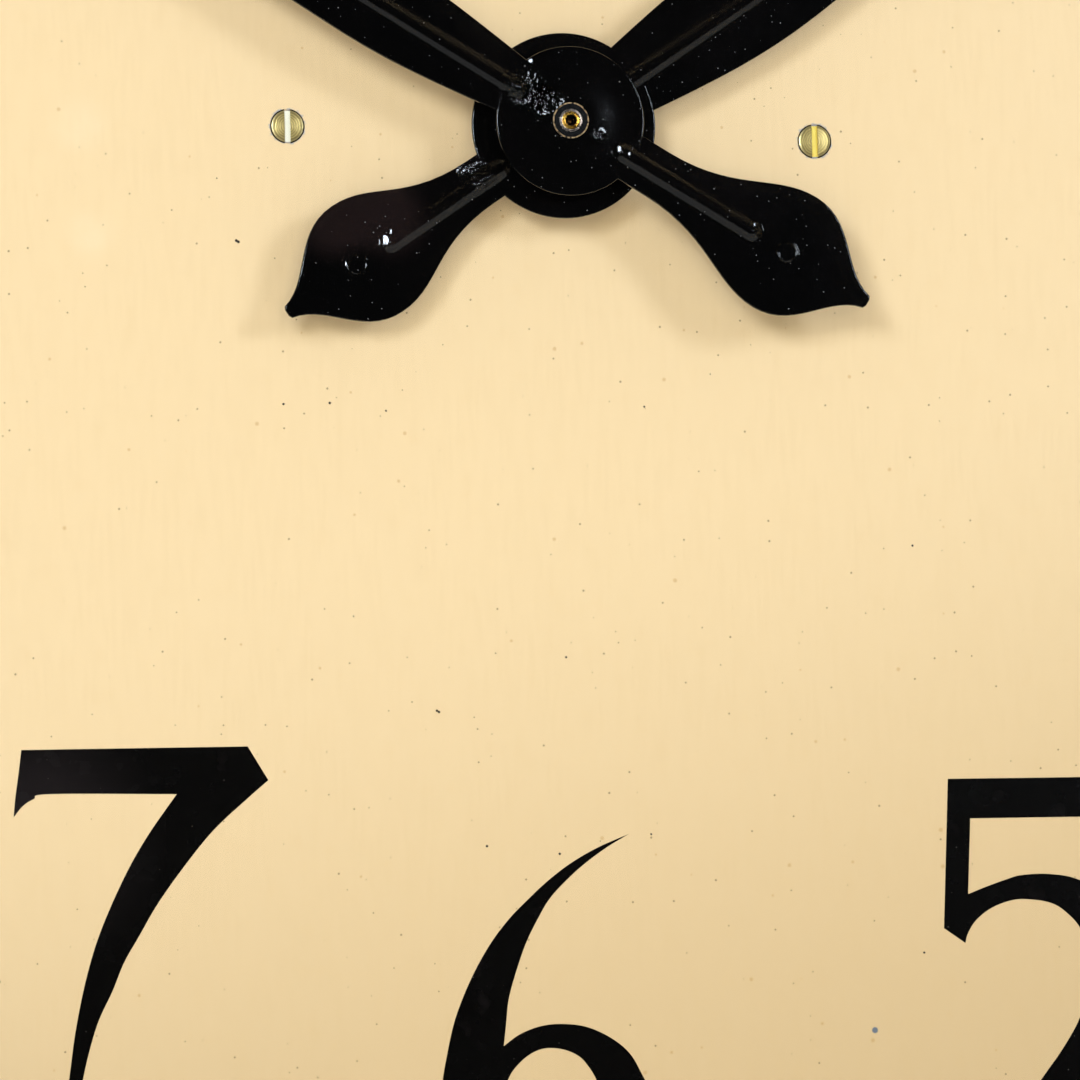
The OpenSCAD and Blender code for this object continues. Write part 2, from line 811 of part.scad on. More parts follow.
module cannon_pinion() {
    color("#c2a562") on_wall() difference() {
        union() {
            translate([0, 0, cannon_z]) rotate([0, 0, mesh_angle]) linear_extrude(cannon_face)
                gear_outline(cannon_module, cannon_teeth);
            rod(cannon_r, cannon_z, cannon_front_z);
        }
        rod(arbor_r + fit_gap, cannon_z - 1, cannon_front_z + 1);
    }
}

module motion_stud() {
    color("#6f7275") on_wall() translate([0, -motion_centre, 0]) {
        rod(stud_r - fit_gap, front_plate_z, front_plate_z + plate_t);
        rod(stud_r, front_plate_z + plate_t, pinion_face_end + 0.2);
        rod(stud_r + 1.4, front_plate_z + plate_t, motion_wheel_z - body_gap);
        rod(stud_r + 1.2, pinion_face_end + 0.2, pinion_face_end + 0.9);
    }
}

module motion_wheel() {
    color("#c2a562") on_wall() translate([0, -motion_centre, 0]) difference() {
        union() {
            translate([0, 0, motion_wheel_z]) rotate([0, 0, mesh_angle + 180 + 180 / motion_teeth])
                linear_extrude(motion_wheel_t) difference() {
                    gear_outline(cannon_module, motion_teeth);
                    for (a = [0:90:270]) rotate(a + 45) translate([motion_hole_at, 0]) circle(r = motion_hole_r);
                }
            translate([0, 0, motion_wheel_z]) rotate([0, 0, mesh_angle + 180 + 180 / pinion_teeth])
                linear_extrude(pinion_face_end - motion_wheel_z) gear_outline(hour_module, pinion_teeth);
        }
        rod(stud_r + run_gap, motion_wheel_z - 1, pinion_face_end + 1);
    }
}

motion_pitch_r = cannon_module * motion_teeth / 2;
motion_hole_at = motion_pitch_r * 0.62;
motion_hole_r = motion_pitch_r * 0.2;

module hour_wheel() {
    color("#c2a562") on_wall() difference() {
        union() {
            translate([0, 0, hour_wheel_z]) rotate([0, 0, mesh_angle]) linear_extrude(hour_wheel_t)
                difference() {
                    gear_outline(hour_module, hour_teeth);
                    for (a = [0:72:288]) rotate(a) translate([hour_hole_at, 0]) circle(r = hour_hole_r);
                }
            rod(pipe_r, hour_wheel_z, pipe_front_z);
        }
        rod(cannon_r + run_gap, hour_wheel_z - 1, pipe_front_z + 1);
    }
}

hour_pitch_r = hour_module * hour_teeth / 2;
hour_hole_at = hour_pitch_r * 0.63;
hour_hole_r = hour_pitch_r * 0.2;

// Magnet: two upright coils on an angle-iron yoke, the armature across the poles

coil_z = iron_z + iron_w / 2;
core_r = core_d / 2;
pole_y = armature_y - armature_t / 2 - air_gap;
flange_t = 1.5;
bobbin_top = pole_y - 2.5;
bobbin_bottom = bobbin_top - coil_len - 2 * flange_t;
yoke_t = 6;
yoke_foot_t = 3;
yoke_y = bobbin_bottom - 0.5;
yoke_half_w = coil_pitch / 2 + core_r + 5;
yoke_screw_x = 12;
yoke_screw_y = yoke_y - yoke_t - 6;

module at_coils() {
    for (s = [-1, 1]) translate([s * coil_pitch / 2, 0, coil_z]) rotate([-90, 0, 0]) children();
}

module magnet_yoke() {
    color("#4c4e50") on_wall() difference() {
        translate([-yoke_half_w, 0, 0]) rotate([90, 0, 90]) linear_extrude(2 * yoke_half_w) polygon([
            [yoke_y, back_plate_z + plate_t],
            [yoke_y, iron_z + iron_w],
            [yoke_y - yoke_t, iron_z + iron_w],
            [yoke_y - yoke_t, back_plate_z + plate_t + yoke_foot_t],
            [yoke_y - yoke_t - 10, back_plate_z + plate_t + yoke_foot_t],
            [yoke_y - yoke_t - 10, back_plate_z + plate_t]
        ]);
        at_coils() rod(core_foot_r + fit_gap, yoke_y - yoke_t - 1, yoke_y + 1);
        for (s = [-1, 1]) translate([s * yoke_screw_x, yoke_screw_y, 0])
            rod(pillar_screw_d / 2 + fit_gap, back_plate_z - 1, back_plate_z + plate_t + yoke_foot_t + 1);
    }
}

module yoke_screws() {
    color("#6f7275") on_wall() for (s = [-1, 1])
        translate([s * yoke_screw_x, yoke_screw_y, back_plate_z]) mirror([0, 0, 1]) plate_screw(yoke_foot_t);
}

core_foot_r = 3;

module magnet_cores() {
    color("#6f7275") on_wall() at_coils() {
        rod(core_r, yoke_y, pole_y);
        rod(core_foot_r, yoke_y - yoke_t, yoke_y);
        rod(core_r + 3, pole_y - 2, pole_y);
    }
}

bobbin_r = coil_d / 2 + 1;
bobbin_wall = 1;

module coil_bobbins() {
    color("#5a2b1c") on_wall() at_coils() difference() {
        union() {
            rod(core_r + bobbin_wall, bobbin_bottom, bobbin_top);
            rod(bobbin_r, bobbin_bottom, bobbin_bottom + flange_t);
            rod(bobbin_r, bobbin_top - flange_t, bobbin_top);
        }
        rod(core_r + fit_gap, bobbin_bottom - 1, bobbin_top + 1);
    }
}

module coil_windings() {
    color("#7d3b22") on_wall() at_coils()
        tube(coil_d / 2, core_r + bobbin_wall + fit_gap, bobbin_bottom + flange_t, bobbin_top - flange_t);
}

armature_boss_r = 5;
armature_left = -(coil_pitch / 2 + core_r + 4);

module armature() {
    color("#6f7275") on_wall() translate([0, 0, iron_z]) linear_extrude(iron_w) difference() {
        union() {
            translate([armature_left, armature_y - armature_t / 2])
                square([armature_x - armature_left, armature_t]);
            translate([armature_x, armature_y]) circle(r = armature_boss_r);
        }
        translate([armature_x, armature_y]) circle(r = armature_arbor_r + fit_gap);
    }
}

module armature_arbor() {
    color("#8d9093") on_wall() translate([armature_x, armature_y, 0]) {
        rod(armature_arbor_r, back_plate_z - 1.5, front_plate_z + plate_t + 1.5);
        rod(armature_arbor_r + 1.5, back_plate_z + plate_t + body_gap, iron_z);
    }
}

lever_w = 8;
spring_x = -50;
spring_pin_r = 1;
pawl_x = -42;
pawl_y = -30;
pawl_pin_r = 1.5;
lever_rivet_r = 1.5;
lever_foot_x = armature_left + 16;

// Flat strip on the front of the armature, with an upright for the pawl's pin and a pin for the spring
module armature_lever() {
    low_y = armature_y - armature_t / 2;
    color("#a9abad") on_wall() {
        translate([spring_x, low_y, lever_z]) cube([lever_foot_x - spring_x, lever_w, lever_t]);
        translate([spring_x, low_y + lever_w / 2, 0]) rod(lever_w / 2, lever_z, lever_z + lever_t);
        translate([pawl_x - lever_w / 2, low_y, lever_z]) cube([lever_w, pawl_y - low_y, lever_t]);
        translate([pawl_x, pawl_y, 0]) rod(lever_w / 2, lever_z, lever_z + lever_t);
        for (x = [armature_left + 4, lever_foot_x - 4]) translate([x, armature_y, 0])
            rod(lever_rivet_r, lever_z + 1, lever_z + lever_t + 0.8);
        translate([pawl_x, pawl_y, 0]) {
            rod(pawl_pin_r, lever_z + 1, ratchet_z + ratchet_t + 0.6);
            rod(pawl_pin_r + 1, ratchet_z + ratchet_t + body_gap, ratchet_z + ratchet_t + 1.2);
            rod(pawl_pin_r + 1.5, lever_z + 1, ratchet_z - body_gap);
        }
        translate([spring_x, armature_y, 0]) rod(spring_pin_r, lever_z + 1, spring_z + 3);
    }
}

// A pawl drawn from its pivot at the origin towards +x, with a sharp nose
function pawl_outline(reach) = [
    [0, -3.2], [reach - 6, -1.6], [reach, -0.4], [reach, 0.8], [reach - 6, 2.4], [0, 3.2]
];

pawl_tip_gap = 0.3;
pawl_boss_r = 3.6;

module pawl(x, y, tip_angle, bore_r) {
    tip_r = ratchet_r + pawl_tip_gap + 0.4;
    dx = tip_r * cos(tip_angle) - x;
    dy = tip_r * sin(tip_angle) - y;
    translate([x, y, ratchet_z]) rotate([0, 0, atan2(dy, dx)]) difference() {
        union() {
            linear_extrude(ratchet_t) polygon(pawl_outline(norm([dx, dy])));
            rod(pawl_boss_r, 0, ratchet_t);
        }
        rod(bore_r, -1, ratchet_t + 1);
    }
}

driving_tip_angle = 190;

module driving_pawl() {
    color("#6f7275") on_wall() pawl(pawl_x, pawl_y, driving_tip_angle, pawl_pin_r + run_gap);
}

backstop_x = 44;
backstop_y = 24;
backstop_tip_angle = 2;

module backstop_stud() {
    color("#6f7275") on_wall() translate([backstop_x, backstop_y, 0]) {
        rod(stud_r - fit_gap, front_plate_z, front_plate_z + plate_t);
        rod(stud_r + 1.5, ratchet_z + ratchet_t + body_gap, front_plate_z);
        rod(stud_r, ratchet_z - 0.2, front_plate_z);
        rod(stud_r + 1.2, ratchet_z - 1, ratchet_z - 0.2);
    }
}

module backstop_pawl() {
    color("#6f7275") on_wall() pawl(backstop_x, backstop_y, backstop_tip_angle, stud_r + run_gap);
}

// Return spring: hangs from a post on the front plate and pulls the lever up

spring_post_y = 6;
spring_r = (spring_d - spring_wire_d) / 2;
spring_bottom_y = armature_y + spring_pin_r + spring_wire_d / 2 + 0.4;
spring_top_y = spring_post_y - stud_r - spring_wire_d / 2 - 0.4;
spring_sides = 6;
spring_rings = 8;

function spring_point(i) = let (
    steps = spring_curls * spring_rings,
    a = 360 * i / spring_rings,
    y = spring_bottom_y + 3 + (spring_top_y - spring_bottom_y - 6) * i / steps
) [spring_r * cos(a), y, spring_r * sin(a)];

spring_path = concat(
    [[0, spring_bottom_y, 0], [spring_r * 0.5, spring_bottom_y + 1.4, 0]],
    [for (i = [0:spring_curls * spring_rings]) spring_point(i)],
    [[spring_r * 0.5, spring_top_y - 1.4, 0], [0, spring_top_y, 0]]
);

function unit(v) = v / norm(v);

// A closed tube of round wire along a list of points
module wire(path, r, sides) {
    n = len(path);
    rings = [for (i = [0:n - 1]) let (
        ahead = unit(path[min(i + 1, n - 1)] - path[max(i - 1, 0)]),
        side = unit(cross(ahead, abs(ahead[2]) < 0.9 ? [0, 0, 1] : [0, 1, 0])),
        up = cross(side, ahead)
    ) [for (k = [0:sides - 1]) path[i] + r * (cos(360 * k / sides) * side + sin(360 * k / sides) * up)]];
    polyhedron(
        points = [for (ring = rings) each ring],
        faces = concat(
            [for (i = [0:n - 2], k = [0:sides - 1]) let (a = i * sides + k, b = i * sides + (k + 1) % sides)
                each [[a, a + sides, b], [b, a + sides, b + sides]]],
            [for (k = [1:sides - 2]) [0, k, k + 1]],
            [for (k = [1:sides - 2]) let (e = (n - 1) * sides) [e, e + k + 1, e + k]]
        )
    );
}

module return_spring() {
    color("#a9abad") on_wall() translate([spring_x, 0, spring_z]) wire(spring_path, spring_wire_d / 2, spring_sides);
}

module spring_post() {
    color("#6f7275") on_wall() translate([spring_x, spring_post_y, 0]) {
        rod(stud_r - fit_gap, front_plate_z, front_plate_z + plate_t);
        rod(stud_r, spring_z - 2, front_plate_z);
    }
}

// Terminal block on the back of the case

block_w = 56;
block_h = 22;
block_t = 12;
block_y = -(cable_drop - 34);
terminal_pitch = 28;

module terminal_block() {
    color("#1d1613") on_wall() translate([0, block_y, case_t]) difference() {
        linear_extrude(block_t) rounded(block_w, block_h, 3);
        for (s = [-1, 1]) translate([s * terminal_pitch / 2, 0, 0]) rod(2 + screw_gap, -1, block_t + 1);
        translate([-1.5, -block_h, block_t - 4]) cube([3, 2 * block_h, 6]);
    }
}

module terminal_screws() {
    color("#c9a24b") on_wall() for (s = [-1, 1]) translate([s * terminal_pitch / 2, block_y, case_t])
        difference() {
            union() {
                rod(2, 1, block_t + 2);
                rod(4.5, block_t, block_t + 1);
                rod(3.6, block_t + 1, block_t + 3.4);
            }
            translate([-5, -0.5, block_t + 2.4]) cube([10, 1, 3]);
        }
}

// Hands: each is drawn along +y, the blade up and the tail down

// Half outline of a blade from the hub to its point
function blade_side(w, length, widest) = concat(
    bezier([w * 0.29, hub_start], [w * 0.42, widest * 0.55], [w / 2, widest * 0.75], [w / 2, widest], 8),
    bezier([w / 2, widest], [w / 2, widest * 1.4], [w * 0.27, length * 0.66], [blade_tip_w / 2, length], 12)
);

// Half outline of a tail from the hub to its blunt end, as [half width, distance from the axis]
function tail_side(w, length) = let (
    neck = tail_neck_w / 2,
    bulb = length - tail_point_len,
    swell = bulb - tail_neck_len
) concat(
    [[neck, hub_start]],
    bezier([neck, tail_neck_len], [neck, tail_neck_len + swell * 0.5], [w / 2, bulb - swell * 0.31],
        [w / 2, bulb], 9),
    bezier([w / 2, bulb], [w / 2, bulb + tail_point_len * 0.48], [neck * 0.6, bulb + tail_point_len * 0.61],
        [tail_tip_w / 2, length - tail_tip_w / 8], 9),
    [[tail_tip_w / 4, length]]
);

module both_sides(side) {
    polygon(concat(side, [for (p = backwards(side)) [-p[0], p[1]]]));
}

hub_start = 14;
blade_tip_w = 1.6;
hour_widest = 56;
minute_widest = 54;
tail_neck_len = 24;
tail_point_len = 23;
rib_r = rib_w / 2;
rib_wall = 0.8;
rib_depth = 0.6;
rib_tuck = 4;
hour_rib_clear = 46;
minute_rib_clear = 70;
rim_chamfer = 0.4;

// Half-round rib pressed up out of the sheet, drawn from y0 to y1, with rounded ends
module rib(r, y0, y1, z) {
    translate([0, y0, z]) rotate([-90, 0, 0]) cylinder(r = r, h = y1 - y0);
    for (y = [y0, y1]) translate([0, y, z]) sphere(r = r);
}

// A pressed hand whose front face is at z: blade, tail and disc of one sheet, with two ribs
module hand(w, length, widest, tail_w, tail_len, disc_r, z, neck_r, rib_end) {
    rib_start = disc_r - rib_tuck;
    difference() {
        union() {
            translate([0, 0, z - hand_t]) linear_extrude(hand_t) {
                both_sides(blade_side(w, length, widest));
                mirror([0, 1]) both_sides(tail_side(tail_w, tail_len));
            }
            translate([0, 0, z - hand_t]) rotate_extrude() polygon(concat(
                [[0, 0], [disc_r - rim_chamfer, 0], [disc_r, rim_chamfer], [disc_r, hand_t]],
                [for (i = [1:6]) let (r = disc_r * (1 - i / 6)) [r, hand_t + disc_dome * (1 - pow(r / disc_r, 2))]]
            ));
            intersection() {
                union() {
                    rib(rib_r, rib_start, rib_end, z);
                    rib(rib_r, -tail_rib_end, -rib_start, z);
                }
                rod(length, z - hand_t, z + rib_r + 1);
            }
        }
        rib(rib_r - rib_wall, rib_start, rib_end, z - hand_t * rib_depth);
        rib(rib_r - rib_wall, -tail_rib_end, -rib_start, z - hand_t * rib_depth);
        rod(neck_r + fit_gap, z - hand_t - 1, z + disc_dome + 2);
        translate([0, -rivet_reach, 0]) rod(rivet_r + fit_gap, z - hand_t - 1, z + 3);
    }
}

rivet_r = 1.5;
tail_rib_end = 50;
hour_neck_r = pipe_r + 1.6;
minute_neck_r = 4.25;

module hour_hand() {
    color("#0c0c0c") on_wall() clockwise(hour_angle)
        hand(hour_blade_w, hour_len, hour_widest, hour_tail_w, hour_tail_len, hour_disc_d / 2, hour_z,
            hour_neck_r, hour_len - hour_rib_clear);
}

module minute_hand() {
    color("#0c0c0c") on_wall() clockwise(minute_angle)
        hand(minute_blade_w, minute_len, minute_widest, minute_tail_w, minute_tail_len, minute_disc_d / 2,
            minute_z, minute_neck_r, minute_len - minute_rib_clear);
}

collet_h = 6;
hour_collet_r = hour_neck_r + 2.5;
grub_r = 1.5;

module hour_collet() {
    color("#c2a562") on_wall() clockwise(hour_angle) difference() {
        union() {
            rod(hour_collet_r, hour_z - hand_t - collet_h, hour_z - hand_t);
            rod(hour_neck_r, hour_z - hand_t, hour_z + disc_dome - 0.2);
        }
        rod(pipe_r + fit_gap, hour_z - hand_t - collet_h - 1, hour_z + 3);
        for (s = [-1, 1]) translate([0, 0, hour_z - hand_t - collet_h / 2]) rotate([0, s * 90, 0])
            rod(grub_r + fit_gap, 0, hour_collet_r + 1);
    }
}

module hour_collet_screws() {
    color("#6f7275") on_wall() clockwise(hour_angle) for (s = [-1, 1])
        translate([0, 0, hour_z - hand_t - collet_h / 2]) rotate([0, s * 90, 0]) difference() {
            rod(grub_r, pipe_r + fit_gap, hour_collet_r + 0.6);
            translate([-2, -0.3, hour_collet_r]) cube([4, 0.6, 2]);
        }
}

minute_collet_r = 7;
minute_collet_h = 4.6;

module minute_collet() {
    color("#b08d3c") on_wall() clockwise(minute_angle) difference() {
        union() {
            rod(minute_collet_r, minute_z - hand_t - minute_collet_h, minute_z - hand_t);
            rod(minute_neck_r, minute_z - hand_t, minute_z + disc_dome);
        }
        rod(arbor_r + fit_gap, minute_z - hand_t - minute_collet_h - 1, minute_z + 3);
        translate([0, 0, minute_z - hand_t - minute_collet_h / 2]) rotate([0, 90, 0])
            rod(grub_r + fit_gap, 0, minute_collet_r + 1);
    }
}

module minute_collet_screw() {
    color("#6f7275") on_wall() clockwise(minute_angle)
        translate([0, 0, minute_z - hand_t - minute_collet_h / 2]) rotate([0, 90, 0]) difference() {
            rod(grub_r, arbor_r + fit_gap, minute_collet_r + 0.6);
            translate([-2, -0.3, minute_collet_r]) cube([4, 0.6, 2]);
        }
}

module counterweight(z) {
    translate([0, -rivet_reach, 0]) {
        rod(weight_d / 2, z - hand_t - weight_t, z - hand_t);
        rod(rivet_r, z - hand_t, z + 0.2);
        translate([0, 0, z]) cylinder(r1 = rivet_head_d / 2, r2 = rivet_head_d / 2 - 0.4, h = 0.4);
    }
}

module hour_counterweight() {
    color("#0c0c0c") on_wall() clockwise(hour_angle) counterweight(hour_z);
}

module minute_counterweight() {
    color("#0c0c0c") on_wall() clockwise(minute_angle) counterweight(minute_z);
}

case_pan();
hanging_plate();
cable_grommet();
dial_brackets();
dial_ring();
dial();
dial_rim_screws();
dial_screws();
bezel();
glass();
glass_gasket();
glass_retainer();
retainer_screws();
hinge_fixed_leaf();
hinge_moving_leaf();
hinge_pin();
bezel_lug();
latch_plate();
latch_button();
front_plate();
back_plate();
plate_pillars();
pillar_screws();
dial_posts();
minute_arbor();
ratchet_wheel();
cannon_pinion();
motion_stud();
motion_wheel();
hour_wheel();
magnet_yoke();
yoke_screws();
magnet_cores();
coil_bobbins();
coil_windings();
armature();
armature_arbor();
armature_lever();
driving_pawl();
backstop_stud();
backstop_pawl();
return_spring();
spring_post();
terminal_block();
terminal_screws();
hour_hand();
hour_collet();
hour_collet_screws();
hour_counterweight();
minute_hand();
minute_collet();
minute_collet_screw();
minute_counterweight();
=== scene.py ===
# %% [markdown] # A factory wall clock This file dresses a finished CAD model of a
# round factory clock. Here each CAD part gets its finish, and what shows from
# close by gets a finer shape: the two pressed hands and the painted numerals.

# %% Load the CAD model
import json
import math

import bmesh
import bpy
from mathutils import Matrix, Vector


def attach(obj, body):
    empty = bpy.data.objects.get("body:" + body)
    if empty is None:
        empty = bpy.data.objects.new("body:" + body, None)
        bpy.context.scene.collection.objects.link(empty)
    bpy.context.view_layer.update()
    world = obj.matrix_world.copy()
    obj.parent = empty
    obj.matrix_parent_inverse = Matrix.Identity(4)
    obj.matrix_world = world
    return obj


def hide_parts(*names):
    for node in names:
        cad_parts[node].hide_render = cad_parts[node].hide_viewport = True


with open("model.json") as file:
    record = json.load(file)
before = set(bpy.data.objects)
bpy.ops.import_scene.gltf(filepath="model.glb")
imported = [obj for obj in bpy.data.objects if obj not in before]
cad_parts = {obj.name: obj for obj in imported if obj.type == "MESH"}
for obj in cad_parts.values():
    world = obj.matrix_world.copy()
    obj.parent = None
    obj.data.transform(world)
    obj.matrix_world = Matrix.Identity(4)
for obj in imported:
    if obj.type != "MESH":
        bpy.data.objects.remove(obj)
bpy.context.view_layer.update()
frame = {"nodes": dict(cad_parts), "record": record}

MM = 0.001

# %% [markdown]
# ## The camera
# The picture to match looks at the dial from a little left and below, through a
# long lens. A Track To constraint could aim the camera, but would keep it level,
# and this one is rolled a little. So its three directions are worked out from
# yaw, pitch and roll, and it backs away from a point on the dial along its own
# line of sight.

# %% Camera
# How far the dial's face stands out from the wall, in millimetres
DIAL_Z = 79.0
YAW, PITCH, ROLL = math.radians(9.754), math.radians(4.005), math.radians(-1.357)
AIM = Vector((-5.3, -DIAL_Z, -96.66)) * MM
DISTANCE = 1.870
# Half the picture's width and the lens's focal length, both in the picture's pixels
HALF_WIDTH, FOCAL_LENGTH = 540, 7907
SENSOR_WIDTH = 36

forward = Vector((math.sin(YAW) * math.cos(PITCH), math.cos(YAW) * math.cos(PITCH), math.sin(PITCH)))
right = Vector((math.cos(YAW), -math.sin(YAW), 0))
up = right.cross(forward)
right, up = right * math.cos(ROLL) + up * math.sin(ROLL), up * math.cos(ROLL) - right * math.sin(ROLL)

camera = bpy.data.objects.new("camera", bpy.data.cameras.new("camera"))
bpy.context.scene.collection.objects.link(camera)
turned = Matrix((right, up, -forward)).transposed().to_4x4()
camera.matrix_world = Matrix.Translation(AIM - forward * DISTANCE) @ turned
camera.data.sensor_width = SENSOR_WIDTH
camera.data.lens = SENSOR_WIDTH / 2 * FOCAL_LENGTH / HALF_WIDTH
camera.data.clip_start, camera.data.clip_end = 0.01, 50
bpy.context.scene.camera = camera
print(f"lens {camera.data.lens:.1f} mm, {DISTANCE} m away")

# %% [markdown]
# ## Shader arithmetic
# A finish is a graph of small nodes. Adding and wiring each of them by hand makes
# a page of code out of a short formula. So `Value` wraps one output of a node and
# overloads Python's operators: writing `1 - mask * 0.5` adds the Math nodes.

# %% The Value class
class Value:
    """One output of a shader node. Arithmetic on it adds Math nodes."""

    def __init__(self, graph, socket):
        self.graph, self.socket = graph, socket

    def math(self, operation, *others):
        inputs = dict(enumerate((self, *others)))
        return self.graph.node("ShaderNodeMath", {"operation": operation}, inputs)

    def __add__(self, other):
        return self.math("ADD", other)

    def __sub__(self, other):
        return self.math("SUBTRACT", other)

    def __rsub__(self, other):
        return self.graph.node("ShaderNodeMath", {"operation": "SUBTRACT"}, {0: other, 1: self})

    def __mul__(self, other):
        return self.math("MULTIPLY", other)

    def __truediv__(self, other):
        return self.math("DIVIDE", other)

    def __pow__(self, other):
        return self.math("POWER", other)

    def __lt__(self, other):
        return self.math("LESS_THAN", other)

    __radd__ = __add__
    __rmul__ = __mul__

    def between(self, low, high, first=0, last=1):
        """The first number below low, the last one above high, smooth in between."""
        inputs = {"Value": self, "From Min": low, "From Max": high, "To Min": first, "To Max": last}
        return self.graph.node("ShaderNodeMapRange", {"interpolation_type": "SMOOTHSTEP"}, inputs)


print("Value answers to + - * / ** and <")

# %% [markdown]
# ## Nodes of any kind
# Blender has a node for each pattern, mix and shader, and all are added alike.
# `Graph` wraps a node tree, of a material or of the world. Its `node` method takes
# the kind, then the settings that decide which sockets the node has, and then the
# values or links of those sockets.

# %% The Graph class
def enabled(sockets, name):
    """A socket by number, or the one of that name that is switched on."""
    if isinstance(name, int):
        return sockets[name]
    return next(s for s in sockets if s.name == name and s.enabled)


class Graph:
    """A node tree and what adds nodes to it."""

    def __init__(self, tree):
        self.tree = tree

    def plug(self, socket, value):
        """Links or sets one input of a node."""
        if isinstance(value, Value):
            self.tree.links.new(value.socket, socket)
        elif isinstance(value, tuple) and socket.type == "RGBA":
            socket.default_value = (*value, 1)
        else:
            socket.default_value = value

    def node(self, kind, settings, inputs, output=0):
        made = self.tree.nodes.new(kind)
        for name, value in settings.items():
            setattr(made, name, value)
        for name, value in inputs.items():
            self.plug(enabled(made.inputs, name), value)
        return Value(self, enabled(made.outputs, output))

    def other_output(self, value, name):
        """Another output of the node that value comes from."""
        return Value(self, enabled(value.socket.node.outputs, name))


print("Graph is ready for the materials and the world")

# %% [markdown]
# ## A finish and its patterns
# Every finish of the clock but the glass is one Principled shader, and `Paint`
# starts its material. The patterns read the Object coordinates, turned into
# millimetres once. Those stay with a hand when it turns, where world coordinates
# would let the specks slide over it. The clock needs noise, specks, and round
# spots at a place on the dial.

# %% The Paint class
class Paint(Graph):
    """A finish, with the patterns that feed it."""

    def __init__(self, name, **constants):
        self.material = bpy.data.materials.new(name)
        self.material.use_nodes = True
        super().__init__(self.material.node_tree)
        self.shader = self.tree.nodes["Principled BSDF"]
        metres = self.node("ShaderNodeTexCoord", {}, {}, "Object")
        scaled = {"Vector": metres, "Scale": 1 / MM}
        self.place = self.node("ShaderNodeVectorMath", {"operation": "SCALE"}, scaled, "Vector")
        self.parts = self.node("ShaderNodeSeparateXYZ", {}, {"Vector": self.place})
        self.flat = self.node("ShaderNodeCombineXYZ", {}, {"X": self.axis("X"), "Y": self.axis("Z")})
        for socket, value in constants.items():
            self.set(socket.replace("_", " "), value)

    def set(self, name, value):
        """Feeds one socket of the Principled shader."""
        self.plug(self.shader.inputs[name], value)

    def axis(self, name):
        return self.other_output(self.parts, name)

    def noise(self, size, detail=3, stretch=(1, 1, 1)):
        """Noise from 0 to 1 whose patches are about size millimetres across."""
        where = self.node("ShaderNodeMapping", {}, {"Vector": self.place, "Scale": stretch})
        inputs = {"Vector": where, "Scale": 1 / size, "Detail": detail}
        return self.node("ShaderNodeTexNoise", {}, inputs, "Fac")

    def specks(self, spacing, radius, share, soft=0.35, ragged=0.0, flat=False):
        """Dots in a share of the cells of a grid, 0.4 to 1.2 times radius in size.

        Flat dots lie in the dial's plane, the others are small balls.
        """
        settings = {"voronoi_dimensions": "2D" if flat else "3D"}
        inputs = {"Vector": self.flat if flat else self.place, "Scale": 1 / spacing}
        cells = self.node("ShaderNodeTexVoronoi", settings, inputs, "Distance")
        # Each cell has a random colour. Its blue draws the lot, its red the size.
        drawn = self.other_output(cells, "Color")
        lot = self.node("ShaderNodeSeparateColor", {}, {"Color": drawn}, "Blue")
        reach = (self.other_output(lot, "Red") * 0.8 + 0.4) * (radius / spacing)
        if ragged:
            reach = reach * (self.noise(radius * 0.8, 1) * ragged + 1 - ragged / 2)
        return (cells / reach).between(1 - soft, 1 + soft, 1, 0) * (lot < share)

    def distance(self, x, y):
        """Millimetres from the place x, y on the dial."""
        ends = {0: self.flat, 1: (x, y, 0)}
        return self.node("ShaderNodeVectorMath", {"operation": "DISTANCE"}, ends, "Value")

    def near(self, x, y, radius, soft=0.6):
        """1 around the place x, y on the dial, 0 beyond that radius in millimetres."""
        return self.distance(x, y).between(radius * (1 - soft), radius, 1, 0)

    def mix(self, amount, first, second):
        """The first colour where amount is 0, the second where it is 1."""
        inputs = {"Factor": amount, "A": first, "B": second}
        return self.node("ShaderNodeMix", {"data_type": "RGBA"}, inputs, "Result")

    def bump(self, height, depth, strength=1.0):
        """Makes the surface look uneven: height from 0 to 1 stands for depth millimetres."""
        inputs = {"Height": height, "Distance": depth * MM, "Strength": strength}
        self.set("Normal", self.node("ShaderNodeBump", {}, inputs))


MATERIALS = {}
print("patterns:", [name for name in vars(Paint) if not name.startswith("_")])

# %% [markdown]
# ## The dial's paint
# The dial is a metal sheet in cream enamel, brushed on by hand. Its colour is
# painted darker towards the bottom right, which is painted shade. A photograph of
# old paint could be wrapped on it, but would bring its own light and dirt along.
# Here wide soft noise shifts the colour a little, and fine noise, stretched
# upright, is the brush.

# %% Cream paint with its brush marks
CREAM, COOLER_CREAM = (0.880, 0.668, 0.395), (0.868, 0.662, 0.400)
SHADED_CREAM, BRUSHED, BLOTCHED = (0.63, 0.44, 0.222), (0.62, 0.42, 0.18), (0.70, 0.46, 0.20)

paint = Paint("dial_paint", Specular_IOR_Level=0.2)
MATERIALS["dial_paint"] = paint.material
colour = paint.mix(paint.noise(90, 4), CREAM, COOLER_CREAM)
# Painted shade: the cream is painted darker towards the bottom right.
lower = paint.axis("X") * 0.25 - paint.axis("Z")
colour = paint.mix(lower.between(80, 260) * 0.65, colour, SHADED_CREAM)
brush = paint.noise(1.3, 3, (1, 1, 0.12)).between(0.35, 0.75)
colour = paint.mix(brush * 0.07, colour, BRUSHED)
colour = paint.mix(paint.noise(5, 4).between(0.55, 0.75) * 0.06, colour, BLOTCHED)
paint.set("Roughness", paint.noise(14, 3) * 0.12 + 0.30)
paint.bump(paint.noise(2.5, 3, (1, 1, 0.3)), 0.015, 0.5)
print("cream", CREAM, "with", len(paint.tree.nodes), "nodes")
